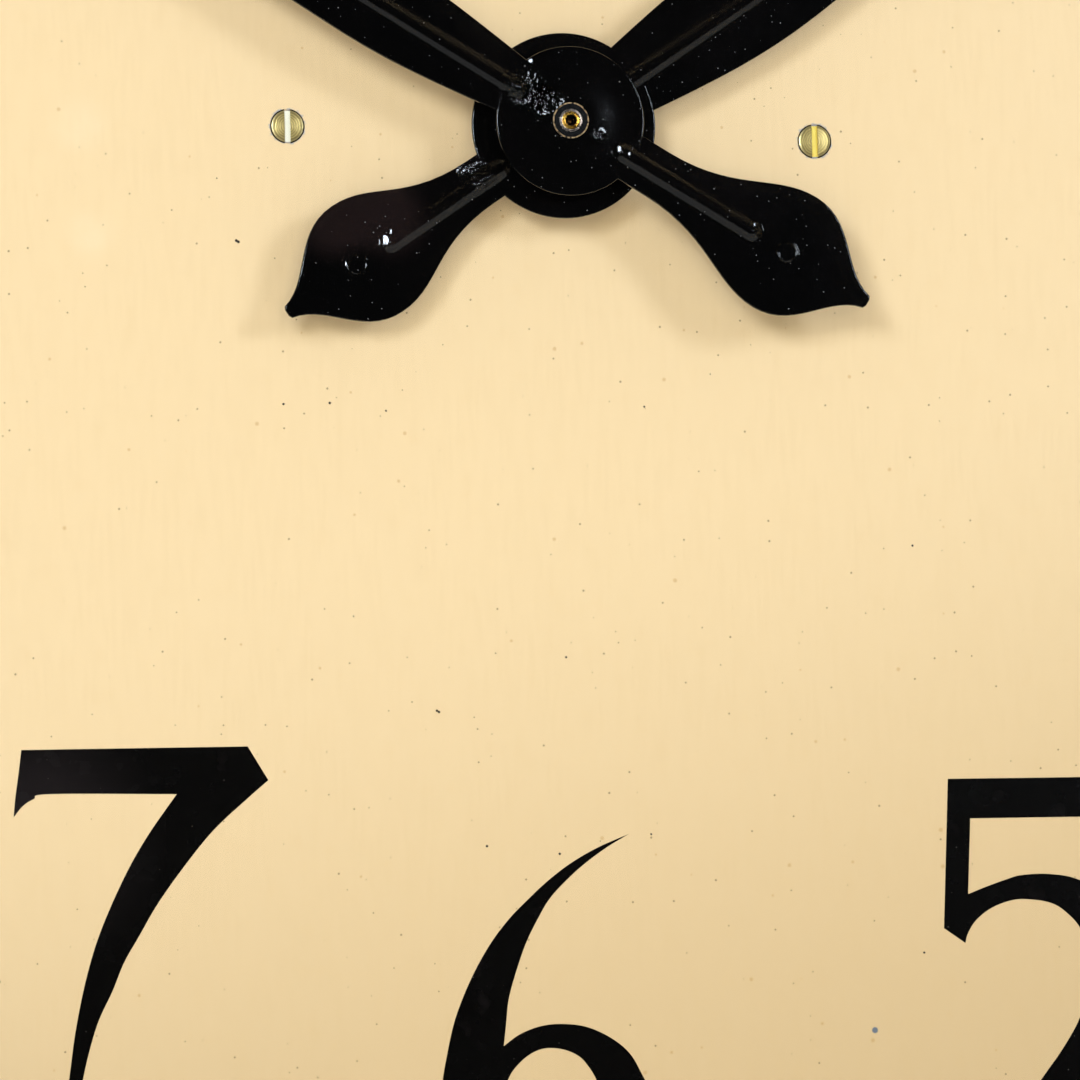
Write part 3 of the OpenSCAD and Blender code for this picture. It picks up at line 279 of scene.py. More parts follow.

# %% [markdown]
# Years in a works leave specks on a dial: pale rust, brown dirt and a few black
# dots. Voronoi cells could show as a regular grid, so few cells get a speck, each
# with its own size and a ragged edge. The largest dots are placed one by one. The
# paint has flaked off around the two screws. Two pale spots on the left are a
# painted reflection in the glass.

# %% Specks and chips in the cream
RUST, DIRT, BLACK = (0.55, 0.28, 0.08), (0.16, 0.09, 0.03), (0.012, 0.010, 0.008)
BLUISH, GLOW_REFLECTION, BARE = (0.16, 0.19, 0.24), (0.97, 0.85, 0.62), (0.42, 0.41, 0.44)
BLACK_DOTS = ((-76.2, -25.1, 0.45), (-75.7, -25.4, 0.45), (-30.9, -136.7, 0.4), (-30.4, -137.0, 0.4),
              (-19.7, -168.8, 0.4), (-54.8, -63.7, 0.4), (0.3, -124.5, 0.35))
SCREWS = ((-63.47, 1.99), (63.47, -1.99))

rusty = paint.specks(spacing=9, radius=0.42, share=0.10, ragged=0.6, flat=True)
dirty = paint.specks(spacing=5, radius=0.22, share=0.18, flat=True)
blackened = paint.specks(spacing=30, radius=0.26, share=0.14, soft=0.2, ragged=0.8, flat=True)
colour = paint.mix(rusty * 0.4, colour, RUST)
colour = paint.mix(dirty * 0.65, colour, DIRT)
colour = paint.mix(blackened, colour, BLACK)
dots = sum(paint.near(x, y, radius, soft=0.5) for x, y, radius in BLACK_DOTS)
colour = paint.mix(dots, colour, BLACK)
colour = paint.mix(paint.near(72.5, -214.1, 0.9, soft=0.4), colour, BLUISH)
# Painted reflection: two pale spots on the left of the dial.
painted_glow = paint.near(-112.7, 2.4, 9, soft=1) + paint.near(-110.8, -23.6, 8, soft=1)
colour = paint.mix(painted_glow * paint.noise(4, 3) * 0.35, colour, GLOW_REFLECTION)
for x, y in SCREWS:
    ragged_distance = paint.distance(x, y) + paint.noise(1.2, 3) * 2.4
    colour = paint.mix(ragged_distance.between(5.0, 5.7, 1, 0), colour, BARE)
paint.set("Base Color", colour)
print(len(BLACK_DOTS), "large dots,", len(paint.tree.nodes), "nodes")

# %% [markdown]
# ## The numerals' paint
# The numerals are hand-painted in black, which shines a little less than the
# enamel of the hands and has faded to grey in patches. A wide warm-grey spot near
# the 7 is a painted reflection. A plain black would hide both, so noise brings in
# the faded grey and one wide spot the painted reflection.

# %% Numeral paint
paint = Paint("numeral_paint", Specular_IOR_Level=0.06)
MATERIALS["numeral_paint"] = paint.material
# Painted reflection: the wide spot near the 7. The noise patches are real fading.
fading_and_reflection = paint.near(-127, -165, 34, soft=0.9) * 0.8 + paint.noise(9, 4).between(0.62, 0.76) * 0.3
colour = paint.mix(fading_and_reflection, (0.0017, 0.0014, 0.0012), (0.0150, 0.0115, 0.0125))
dusty = paint.specks(spacing=2.6, radius=0.13, share=0.05, flat=True) * 0.6
colour = paint.mix(dusty, colour, (0.10, 0.09, 0.08))
paint.set("Base Color", colour)
paint.set("Roughness", paint.noise(6, 3) * 0.12 + 0.20)
paint.bump(paint.noise(0.9, 2), 0.01, 0.4)
print("numeral paint with", len(paint.tree.nodes), "nodes")

# %% [markdown]
# ## Black enamel
# Hands and case are dipped in thick glossy enamel, which dries lumpy and keeps
# the dust that fell in it. A glossy black shows little colour of its own: what
# shows is what it mirrors. So the work is in the bump. Wrinkles are places where
# the film crumpled, a facet is a small slope that catches the left lamp, and the
# head of a rivet shows through as a low ring.

# %% The enamel's function
# A surface that rises by this much per millimetre to the right mirrors the left lamp.
LEAN = 0.275


def enamel(name, colour, brown, mottle, lump, lump_depth, dust, gloss, flat=False,
           painted_sheen=(), wrinkles=(), facets=(), rivets=()):
    """Black enamel. The lists at the end hold places on the dial: x, y and radius."""
    made = Paint(name, Specular_IOR_Level=0.5)
    MATERIALS[name] = made.material
    mottled = made.noise(25, 4).between(0.42, 0.7) * mottle
    # Painted reflection: at the sheen places the black turns reddish brown. The mottle is real.
    mottle_and_sheen = sum((made.near(x, y, radius, soft=0.9) for x, y, radius in painted_sheen), mottled)
    base = made.mix(mottle_and_sheen.math("MINIMUM", 1), colour, brown)
    dusty = made.specks(spacing=1.7, radius=0.13, share=dust, flat=flat) * 0.75
    made.set("Base Color", made.mix(dusty, base, (0.12, 0.12, 0.125)))
    made.set("Roughness", made.noise(4, 3) * 0.05 + gloss + dusty * 0.4 + mottled * 0.2)

    height = made.noise(lump, 3) + dusty * 0.6
    crumple = made.noise(1.5, 2) * 24
    for x, y, radius in wrinkles:
        height = height + crumple * made.near(x, y, radius, soft=0.7)
    ragged = made.noise(0.9, 1) - 0.5
    for x, y, radius in facets:
        slope = (made.axis("X") - x) * (LEAN / lump_depth)
        edge = made.distance(x, y) + ragged * (radius * 2)
        height = height + slope * edge.between(radius * 0.8, radius * 1.1, 1, 0)
    for x, y, radius in rivets:
        ring = made.near(x, y, radius + 0.3, soft=0.2) - made.near(x, y, radius - 0.3, soft=0.2)
        height = height + ring * 5
    made.bump(height, lump_depth)
    print(name, "with", len(made.tree.nodes), "nodes")


# %% [markdown]
# The hands lie on the dial at a known time, so wrinkles and glints have their
# places in the dial's own millimetres, and turn with the hands. The case has the
# same enamel, laid on thinner, browner with age and without those places.

# %% Enamel of the hands and of the case
# On the hour hand's tail the sheen places paint a reddish reflection into the enamel.
enamel("hand_enamel", (0.0008, 0.0008, 0.0009), (0.0095, 0.0058, 0.0058), mottle=0.06,
       lump=3.0, lump_depth=0.02, dust=0.12, gloss=0.05, flat=True,
       painted_sheen=[(-48.9, -17.4, 15), (-56, -24, 10), (-42, -22, 12)],
       wrinkles=[(-11, 7.5, 7), (-5.5, 4, 5), (6.2, -3.6, 2.4), (-20.5, -11, 6)],
       facets=[(-12.3, 9.2, 0.8), (-11.9, 4.9, 0.9), (-9.2, 14.0, 0.6), (-6.0, 2.1, 0.8),
               (-2.3, 5.8, 0.8), (-8.6, 6.6, 0.6), (5.3, -3.6, 0.6), (7.9, -3.7, 0.7),
               (-24.6, -10.6, 1.1), (-22.3, -12.0, 0.8), (-18.6, -11.4, 0.7)],
       rivets=[(-50.0, -32.7, 2.6), (51.0, -31.4, 2.6)])
enamel("case_enamel", (0.0060, 0.0056, 0.0052), (0.020, 0.017, 0.015), mottle=0.4,
       lump=3.5, lump_depth=0.02, dust=0.05, gloss=0.12)

# %% [markdown]
# ## Bare metals
# Brass plates, steel screws, plated brackets and the iron of the magnet all wear
# the same way: dull stains, small dark pits and a fine grain. One function makes
# them, and its arguments say how dark and how rough each one is.

# %% Metals
def metal(name, colour, dull, rough, grain=1.0):
    made = Paint(name, Metallic=1.0)
    MATERIALS[name] = made.material
    stain = made.noise(9, 4).between(0.42, 0.72)
    base = made.mix(stain * 0.65, colour, dull)
    pitted = made.specks(spacing=1.6, radius=0.12, share=0.2) * 0.5
    made.set("Base Color", made.mix(pitted, base, tuple(c * 0.35 for c in dull)))
    made.set("Roughness", made.noise(grain, 3) * 0.22 + rough + stain * 0.12)
    made.bump(made.noise(grain * 0.4, 2), 0.012, 0.6)
    print(name, "is", colour, "and", dull, "where stained")


metal("brass", (0.78, 0.57, 0.22), dull=(0.40, 0.27, 0.09), rough=0.24)
metal("steel", (0.50, 0.50, 0.51), dull=(0.26, 0.25, 0.24), rough=0.24)
metal("zinc_steel", (0.44, 0.45, 0.46), dull=(0.25, 0.25, 0.24), rough=0.34, grain=3.0)
metal("iron", (0.13, 0.13, 0.135), dull=(0.06, 0.05, 0.045), rough=0.42, grain=2.0)

# %% [markdown]
# ## Rubber, felt, fibre and moulding
# The grommet, the gasket of the glass, the bobbins and the terminal block are
# plain stuffs in two close shades. They differ in roughness and in the size of
# their lumps, so one more function is enough.

# %% Plain stuffs
def plain(name, colour, other, rough, lump, depth):
    made = Paint(name)
    MATERIALS[name] = made.material
    made.set("Base Color", made.mix(made.noise(lump, 4), colour, other))
    made.set("Roughness", made.noise(lump * 0.5, 3) * 0.2 + rough)
    made.bump(made.noise(lump * 0.4, 3), depth, 0.7)
    print(name, "has lumps of", lump, "mm")


plain("rubber", (0.010, 0.010, 0.010), (0.022, 0.021, 0.020), rough=0.6, lump=5, depth=0.05)
plain("felt", (0.022, 0.018, 0.014), (0.045, 0.036, 0.028), rough=0.8, lump=2, depth=0.03)
plain("bobbin_fibre", (0.11, 0.026, 0.012), (0.07, 0.018, 0.010), rough=0.45, lump=4, depth=0.03)
plain("moulding", (0.016, 0.010, 0.008), (0.030, 0.018, 0.012), rough=0.22, lump=8, depth=0.02)

# %% [markdown]
# ## The copper windings
# A winding is hundreds of turns of lacquered wire. Modelled turn by turn it would
# cost thousands of faces that the dial hides. A sine along the core's axis draws
# the turns instead, both as a colour and as a bump. The darker colour in the
# grooves between turns is painted shade.

# %% Windings
TURN_PITCH = 0.5
paint = Paint("winding", Roughness=0.35)
MATERIALS["winding"] = paint.material
ridge = (paint.axis("Z") * (2 * math.pi / TURN_PITCH)).math("SINE") * 0.5 + 0.5
# Painted shade: the colour is darker in the grooves between turns.
paint.set("Base Color", paint.mix(ridge, (0.13, 0.028, 0.010), (0.33, 0.085, 0.022)))
paint.bump(ridge, 0.12)
print("windings have a turn every", TURN_PITCH, "mm")

# %% [markdown]
# ## The dial screws
# Each of the two brass screws was faced on a lathe, which left fine rings, and its
# slot was sawn bright. The slot could be an object of its own, but the CAD screw
# already has it, cut deeper than the head. So the depth tells the two apart. The
# left slot is painted almost white, a painted highlight of the lamps, and the
# right one more yellow. A bright ring near the rim of each head is a painted
# highlight, and the dark rim beyond it is painted shade in the gap around the head.

# %% Screw brass
RING_PITCH = 0.55
SLOT_DEEP, SLOT_SHALLOW = -78.9, -78.75
paint = Paint("screw_brass")
MATERIALS["screw_brass"] = paint.material
from_screw = paint.distance(*SCREWS[0]).math("MINIMUM", paint.distance(*SCREWS[1]))
ring = (from_screw * (2 * math.pi / RING_PITCH) + paint.noise(1.5, 2) * 5).math("SINE") * 0.5 + 0.5
in_slot = paint.axis("Y").between(SLOT_DEEP, SLOT_SHALLOW)
left = paint.axis("X") < 0
head = paint.mix(ring * 0.7, (0.62, 0.47, 0.17), (0.27, 0.20, 0.07))
# Painted highlight: a bright ring near the rim of each head.
head = paint.mix(from_screw.between(3.4, 3.55) * 0.7, head, (0.80, 0.66, 0.32))
# Painted highlight: the left slot is painted almost white.
slot = paint.mix(left, (0.98, 0.78, 0.16), (1.0, 0.97, 0.80))
slot = paint.mix(paint.noise(1.5, 2).between(0.5, 0.7) * 0.4 * (1 - left), slot, (0.80, 0.48, 0.05))
colour = paint.mix(in_slot, head, slot)
# Painted shade: the head's rim next to the countersink is painted dark.
colour = paint.mix(from_screw.between(3.75, 3.85), colour, (0.05, 0.035, 0.015))
paint.set("Base Color", colour)
paint.set("Metallic", 0.75 - in_slot * 0.35)
paint.set("Roughness", in_slot * 0.15 + paint.noise(0.6, 2) * 0.15 + 0.25)
paint.bump(ring * (1 - in_slot) + paint.noise(0.35, 2) * 0.8, 0.02, 0.8)
print("screw brass with", len(paint.tree.nodes), "nodes")

# %% [markdown]
# ## The bush and the arbor
# The bush in the middle of the minute hand is enamelled black, and its edge is
# worn to bare brass. The arbor ends inside it, turned in rings, with a centre hole
# whose dark colour is painted shade. Both finishes only need the distance from the
# axis of the hands.

# %% Bush and arbor
paint = Paint("worn_bush")
MATERIALS["worn_bush"] = paint.material
bare = paint.distance(0, 0).between(3.9, 4.0) * paint.noise(0.8, 2).between(0.35, 0.6)
paint.set("Base Color", paint.mix(bare, (0.0016, 0.0015, 0.0014), (0.45, 0.30, 0.15)))
paint.set("Metallic", bare * 0.8)
paint.set("Roughness", bare * 0.25 + paint.noise(1, 2) * 0.1 + 0.15)
paint.bump(paint.noise(0.8, 2), 0.02, 0.6)

paint = Paint("arbor_end", Metallic=1.0)
MATERIALS["arbor_end"] = paint.material
from_axis = paint.distance(0, 0)
colour = paint.mix(paint.noise(0.9, 2).between(0.4, 0.65), (0.62, 0.34, 0.05), (0.30, 0.13, 0.015))
colour = paint.mix(from_axis.between(2.05, 2.2), colour, (0.33, 0.26, 0.21))
# Painted shade: the centre hole is painted dark.
colour = paint.mix(from_axis.between(1.25, 1.45, 1, 0), colour, (0.06, 0.025, 0.005))
paint.set("Base Color", colour)
paint.set("Roughness", paint.noise(1, 2) * 0.15 + 0.2)
paint.bump((from_axis * 9).math("SINE") + paint.noise(0.8, 2) * 3, 0.02)
print(sorted(MATERIALS))

# %% [markdown]
# ## The glass
# Flat window glass is clear straight on and mirrors at a slant. A Principled
# shader with transmission would bend the light and cost many samples, and the
# thin pane needs neither. So a glossy shader is mixed into a clear one. Layer
# Weight's Facing is 0 straight on and 1 at the rim, on both faces of the pane, and
# its fifth power is close to what real glass mirrors.

# %% Glass
paint = Paint("glass")
MATERIALS["glass"] = paint.material
clear = paint.node("ShaderNodeBsdfTransparent", {}, {"Color": (0.985, 0.992, 0.988)})
film = paint.noise(40, 1).between(0.45, 0.8)
gloss = paint.node("ShaderNodeBsdfGlossy", {}, {"Color": (1, 1, 1), "Roughness": film * 0.03 + 0.01})
facing = paint.node("ShaderNodeLayerWeight", {}, {"Blend": 0.5}, "Facing")
share = facing ** 5 * 0.9 + 0.02
both = paint.node("ShaderNodeMixShader", {}, {0: share, 1: clear, 2: gloss})
paint.plug(paint.tree.nodes["Material Output"].inputs["Surface"], both)
paint.tree.nodes.remove(paint.shader)
print("glass with", len(paint.tree.nodes), "nodes")

# %% [markdown]
# ## Every CAD part gets its finish
# The model's record names a material slot for each part. Three parts that show in
# the middle of the dial get a finish of their own in place of their slot's. The
# meshes are not touched.

# %% Give the CAD parts their materials
SLOT = {row["node"]: row["material_slot"] for row in frame["record"]["subparts"]}
SPECIAL = {"dial_screws": "screw_brass", "minute_collet": "worn_bush", "minute_arbor": "arbor_end"}
for name, part in frame["nodes"].items():
    part.data.materials.clear()
    part.data.materials.append(MATERIALS[SPECIAL.get(name, SLOT[name])])
print(len(SLOT), "parts painted")

# %% [markdown]
# ## From the drawing board to the wall
# Numerals and hands are drawn flat, in millimetres: x to the right, y up and z out
# towards the reader. Turning the object would be simpler, but a pattern on Object
# coordinates would turn with it. So the mesh itself is turned upright, and the
# object stays at the origin and rides on its body.

# %% Put a drawn mesh on its body
# Right stays right, up becomes up the wall, and out comes out of the wall.
WALL = Matrix(((1, 0, 0, 0), (0, 0, -1, 0), (0, 1, 0, 0), (0, 0, 0, 1))) @ Matrix.Scale(MM, 4)


def clockwise(degrees):
    return Matrix.Rotation(math.radians(-degrees), 4, "Z")


def hang(name, mesh, body, material):
    """A bmesh drawn on the wall's plane becomes a piece that moves with its body."""
    mesh.transform(WALL)
    data = bpy.data.meshes.new(name)
    mesh.to_mesh(data)
    mesh.free()
    data.materials.append(MATERIALS[material])
    piece = bpy.data.objects.new(name, data)
    bpy.context.scene.collection.objects.link(piece)
    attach(piece, body)
    return piece


print("one o'clock lies at", [round(v, 2) for v in clockwise(30) @ Vector((0, 1, 0))])

# %% [markdown]
# ## Smooth outlines
# A signwriter draws a numeral in a few sweeps with sharp corners between them. A
# Bezier curve with handles would need three points for each one on the line. Here
# a smooth curve runs through the points themselves, and a point that carries a
# third number is a corner, where one sweep ends and the next begins.

# %% Curves through points
def smooth_run(points, closed, steps=8):
    """A smooth curve through all the points, with steps places from each one to the next."""
    count = len(points)
    last = count if closed else count - 1
    out = []
    for i in range(last):
        if closed:
            a, b, c, d = (Vector(points[(i + k) % count]) for k in (-1, 0, 1, 2))
        else:
            b, c = Vector(points[i]), Vector(points[i + 1])
            a = Vector(points[i - 1]) if i else b + (b - c)
            d = Vector(points[i + 2]) if i + 2 < count else c + (c - b)
        slope, square, cube = c - a, a * 2 - b * 5 + c * 4 - d, b * 3 - a - c * 3 + d
        for k in range(steps):
            t = k / steps
            out.append((b * 2 + slope * t + square * t**2 + cube * t**3) / 2)
    return [tuple(v) for v in out]


def outline(points):
    """A closed outline. A point with a third number is a corner, the others are smooth."""
    corners = [i for i, p in enumerate(points) if len(p) == 3]
    flat = [p[:2] for p in points]
    if not corners:
        return smooth_run(flat, True)
    out = []
    for n, start in enumerate(corners):
        end = corners[(n + 1) % len(corners)]
        count = (end - start) % len(points) or len(points)
        run = [flat[(start + k) % len(points)] for k in range(count + 1)]
        if count == 1:
            out.append(run[0])
        else:
            out += smooth_run(run, False)
    return out


print(len(outline([(0, 0), (1, 0), (1, 1)])), "places on a closed curve through three points")

# %% [markdown]
# ## The numerals
# Each numeral is one or more closed outlines, drawn around its own middle. A font
# would be quicker, but the 5, 6 and 7 of this dial have a hand of their own, with
# one thick and one thin stroke. The others are drawn in the same manner. A nine is
# a six turned upside down.

# %% Numeral shapes
SIX = [
    [(19.9, 51.5, 1), (12.5, 48.5), (6.0, 45.0), (0.3, 40.9), (-4.9, 36.3), (-9.4, 31.9), (-13.8, 26.4),
     (-17.7, 20.0), (-20.8, 13.6), (-23.0, 7.8), (-24.6, 1.5), (-26.2, -7), (-26.6, -17), (-23.5, -31),
     (-15.5, -42.5), (-3.5, -48.8), (8.5, -47.2), (19.5, -40.0), (26.5, -28), (28.2, -19), (25.8, -12),
     (22.3, -6.6), (19.1, -0.7), (14.8, 3.2), (8.9, 6.1), (3.0, 7.0), (-2.3, 6.6), (-7.4, 4.8),
     (-11.3, 2.1, 1), (-10.6, 7.5), (-9.8, 13.4), (-7.5, 20.8), (-5.2, 26.7), (-2.4, 32.0), (0.6, 36.7),
     (5.0, 41.2), (9.4, 44.9), (14.6, 48.5)],
    [(-10.5, -5.9), (-7.5, -1.8), (-3.6, 0.8), (0.4, 1.4), (4.9, 0.3), (8.2, -2.3), (11.2, -8.0),
     (12.4, -18), (11.5, -29), (7.5, -39), (1.5, -44), (-4.5, -41.5), (-9.0, -33), (-11.6, -22),
     (-11.8, -12.5)],
]
SEVEN = [[
    (-28.3, 47.6, 1), (25.0, 47.6, 1), (29.7, 39.6, 1), (24.8, 35.5), (16.5, 28.1), (9.3, 19.6),
    (3.0, 11.1), (-1.8, 3.2), (-5.2, -2.5), (-8.0, -9.0), (-11.4, -15.9), (-13.7, -22.9), (-15.4, -29.6),
    (-17.3, -38), (-18.7, -48, 1), (-20.9, -48, 1), (-20.0, -38), (-18.6, -29.5), (-16.8, -17.9),
    (-14.0, -5.6), (-10.5, 5.0), (-4.8, 17.3), (0.8, 26.8), (8.0, 36.7, 1), (-21.7, 37.2), (-25.6, 36.1),
    (-28.2, 34.5), (-30.4, 31.9, 1), (-29.9, 36.5), (-29.0, 42.5),
]]
FIVE = [[
    (-22.2, 48.2, 1), (21.5, 48.2), (28.0, 49.6, 1), (26.4, 43.5), (22.5, 38.6, 1), (-17.0, 38.7, 1),
    (-18.0, 20.7, 1), (-13.8, 22.3), (-8.4, 24.1), (-4.7, 25.0), (2.1, 25.1), (9.4, 23.5), (19.5, 17.5),
    (27.0, 6.5), (28.6, -6.5), (24.5, -21), (14.5, -35.5), (0.5, -45.5), (-14.5, -49.5), (-27.5, -48.6),
    (-32.5, -45.0), (-32.0, -40.6), (-27.5, -39.6), (-20.0, -39.8), (-10.5, -36.2), (-1.5, -23.8),
    (3.1, -17.8), (6.4, -12.9), (8.5, -9.0), (11.5, -1.5), (11.6, 6.0), (9.1, 12.2), (5.5, 16.2),
    (1.9, 18.3), (-3.4, 19.2), (-7.6, 19.0), (-12.4, 17.3), (-16.2, 14.5), (-18.3, 11.4), (-19.0, 9.1, 1),
    (-24.1, 12.7, 1),
]]
ONE = [[
    (-7.0, -41.5, 1), (-7.4, -44.5), (-13.5, -47.2, 1), (-13.5, -49, 1), (13.5, -49, 1), (13.5, -47.2, 1),
    (7.4, -44.5), (7.0, -41.5, 1), (7.0, 50, 1), (4.2, 50, 1), (-1.5, 45.5), (-9.0, 42.2), (-16.0, 41.2, 1),
    (-16.0, 39.4, 1), (-8.8, 38.8), (-7.0, 35.5, 1),
]]
TWO = [[
    (-25.5, 24.5), (-21.0, 40.0), (-7.5, 49.6), (10.0, 48.6), (22.6, 38.0), (24.5, 22.5), (17.0, 6.5),
    (2.0, -11.0), (-13.5, -28.0), (-17.8, -35.8, 1), (13.0, -35.8), (21.0, -33.0), (26.8, -24.5, 1),
    (29.5, -24.5, 1), (25.0, -48.6, 1), (-27.5, -48.6, 1), (-27.5, -45.0, 1), (-20.5, -33.0),
    (-8.0, -16.0), (4.0, 1.5), (9.4, 17.0), (9.2, 31.0), (3.5, 40.6), (-6.0, 42.6), (-14.5, 37.8),
    (-17.8, 29.5), (-15.0, 26.0), (-14.8, 20.5), (-19.5, 17.8), (-24.3, 19.8),
]]
THREE = [[
    (-23.5, 32.0), (-17.0, 43.5), (-3.0, 49.8), (12.0, 47.2), (20.5, 36.5), (20.0, 23.5), (11.5, 12.2),
    (6.2, 8.6, 1), (17.5, 3.6), (25.0, -8.5), (24.0, -25.5), (14.5, -39.5), (-0.5, -48.4), (-17.5, -49.6),
    (-27.5, -44.5), (-28.2, -38.0), (-22.5, -35.5), (-12.5, -40.0), (-1.0, -39.0), (8.0, -30.5),
    (11.4, -18.0), (9.2, -5.5), (1.0, 2.2), (-10.5, 3.4, 1), (-10.5, 5.4, 1), (-1.0, 9.2), (6.6, 18.0),
    (7.6, 30.5), (1.5, 39.6), (-8.5, 40.2), (-17.0, 33.0), (-20.5, 29.6),
]]
FOUR = [
    [(-31.5, -19.5, 1), (-31.5, -16.5, 1), (11.0, 50.0, 1), (15.5, 50.0, 1), (15.5, -16.5, 1),
     (30.5, -16.5, 1), (27.5, -27.0, 1), (15.5, -27.0, 1), (15.5, -49.0, 1), (1.5, -49.0, 1),
     (1.5, -27.0, 1), (-28.0, -27.0, 1)],
    [(1.5, -16.5, 1), (-22.0, -16.5, 1), (1.5, 21.5, 1)],
]
EIGHT = [
    [(-1.0, 50.0), (-13.5, 46.6), (-21.5, 36.5), (-21.0, 24.0), (-12.5, 12.4), (-10.5, 8.4), (-20.5, 0.5),
     (-27.5, -13.0), (-26.5, -29.0), (-17.5, -42.5), (-2.0, -49.8), (14.0, -46.4), (25.0, -34.5),
     (26.5, -18.0), (18.5, -3.0), (11.0, 5.6), (18.5, 15.5), (22.0, 28.5), (18.0, 41.5), (9.0, 48.5)],
    [(0.5, 43.0), (8.8, 38.5), (11.2, 28.0), (6.8, 14.0), (0.0, 17.5), (-7.5, 26.0), (-9.0, 35.5),
     (-5.5, 41.8)],
    [(-5.0, 2.0), (3.0, -4.0), (11.5, -15.5), (14.0, -27.5), (9.5, -38.5), (0.0, -42.5), (-9.5, -37.5),
     (-14.5, -25.5), (-13.0, -10.5)],
]
ZERO = [
    [(0, 50), (-14, 45.5), (-24, 30), (-27.5, 0), (-24, -30), (-14, -45), (0, -49.5), (14, -45),
     (24, -30), (27.5, 0), (24, 30), (14, 45.5)],
    [(0, 43.5), (7.0, 39), (12.0, 24), (13.4, 0), (12.0, -24), (7.0, -38.5), (0, -43), (-7.0, -38.5),
     (-12.0, -24), (-13.4, 0), (-12.0, 24), (-7.0, 39)],
]
NINE = [[(-x, -y) if not corner else (-x, -y, 1) for x, y, *corner in line] for line in SIX]
SHAPES = {0: ZERO, 1: ONE, 2: TWO, 3: THREE, 4: FOUR, 5: FIVE, 6: SIX, 7: SEVEN, 8: EIGHT, 9: NINE}
print(sum(len(line) for shape in SHAPES.values() for line in shape), "points draw ten digits")

# %% [markdown]
# A flat curve with several closed splines is filled between them, which is how a
# digit gets its holes. It is made a mesh before it is put in its place. The middle
# of each numeral lies on one circle, but the three that the picture shows were
# painted a little off it.

# %% Draw the numerals
INK_Z = DIAL_Z + 0.04
NUMERAL_R = 218
PLACES = {5: (114, -203), 6: (-5.5, -218), 7: (-101, -192)}
NARROW, WIDE, SQUEEZE = 24, 50, 0.82
ink = bmesh.new()


def add_ink(splines, matrix):
    """Adds a shape filled from closed outlines to the dial's black paint."""
    curve = bpy.data.curves.new("digit", "CURVE")
    curve.dimensions = "2D"
    curve.fill_mode = "BOTH"
    for points in splines:
        spline = curve.splines.new("POLY")
        spline.points.add(len(points) - 1)
        for target, (x, y) in zip(spline.points, points):
            target.co = (x, y, 0, 1)
        spline.use_cyclic_u = True
    holder = bpy.data.objects.new("digit", curve)
    filled = bpy.data.meshes.new_from_object(holder)
    filled.transform(matrix)
    ink.from_mesh(filled)
    bpy.data.meshes.remove(filled)
    bpy.data.objects.remove(holder)


for hour in range(1, 13):
    angle = math.radians(30 * hour)
    x, y = PLACES.get(hour, (NUMERAL_R * math.sin(angle), NUMERAL_R * math.cos(angle)))
    digits = [int(digit) for digit in str(hour)]
    two = len(digits) == 2
    squeeze = SQUEEZE if two else 1
    widths = [squeeze * (NARROW if digit == 1 else WIDE) for digit in digits]
    at = x - sum(widths) / 2
    for digit, width in zip(digits, widths):
        middle = at + width / 2 if two else x
        place = Matrix.Translation((middle, y, INK_Z)) @ Matrix.Diagonal((squeeze, 1, 1, 1))
        add_ink([outline(line) for line in SHAPES[digit]], place)
        at += width
print(len(ink.faces), "faces of numerals")

# %% [markdown]
# The minute track is two thin circles with a bar between them for each minute, and
# a thicker bar at every fifth. A circle is filled between two outlines, as a digit
# is. All of it becomes one mesh that lies just above the dial's sheet.

# %% Draw the minute track
TRACK = (276, 290)
LINE_HALF, BAR_HALF, FIFTH_HALF = 0.6, 0.7, 2.6
on_dial = Matrix.Translation((0, 0, INK_Z))


def circle(radius, steps=240):
    turn = [2 * math.pi * i / steps for i in range(steps)]
    return [(radius * math.cos(a), radius * math.sin(a)) for a in turn]


for radius in TRACK:
    add_ink([circle(radius - LINE_HALF), circle(radius + LINE_HALF)], on_dial)
for minute in range(60):
    half = BAR_HALF if minute % 5 else FIFTH_HALF
    bar = [(-half, TRACK[0]), (half, TRACK[0]), (half, TRACK[1]), (-half, TRACK[1])]
    add_ink([bar], on_dial @ clockwise(6 * minute))

bmesh.ops.recalc_face_normals(ink, faces=ink.faces)
turned_away = [face for face in ink.faces if face.normal.z < 0]
bmesh.ops.reverse_faces(ink, faces=turned_away)
dial_print = hang("dial_print", ink, "case", "numeral_paint")
print(len(dial_print.data.polygons), "faces of paint")

# %% [markdown]
# ## The outline of a hand
# A hand is cut from sheet: a leaf-shaped blade that points to the time, and behind
# the hub a tail like a spade that balances it. Each side is a chain of cubic
# curves, so a few widths and lengths describe it, and the other side mirrors it.

# %% Outlines of blade and tail
def bezier(p, q, r, s, steps):
    """Points on a cubic curve from p to s."""
    out = []
    for i in range(steps + 1):
        t = i / steps
        u = 1 - t
        weights = (u * u * u, 3 * u * u * t, 3 * u * t * t, t * t * t)
        out.append(tuple(sum(w * v[k] for w, v in zip(weights, (p, q, r, s))) for k in (0, 1)))
    return out


def both_sides(side):
    return side + [(-x, y) for x, y in reversed(side)]


def blade_outline(width, length, widest):
    w = width / 2
    side = bezier((width * 0.29, 8), (width * 0.42, 30), (w, widest - 14), (w, widest), 14)
    tip = (0.8, length - 0.6)
    side += bezier((w, widest), (w, widest + 22), (width * 0.27, length * 0.66), tip, 22)[1:]
    return both_sides(side)


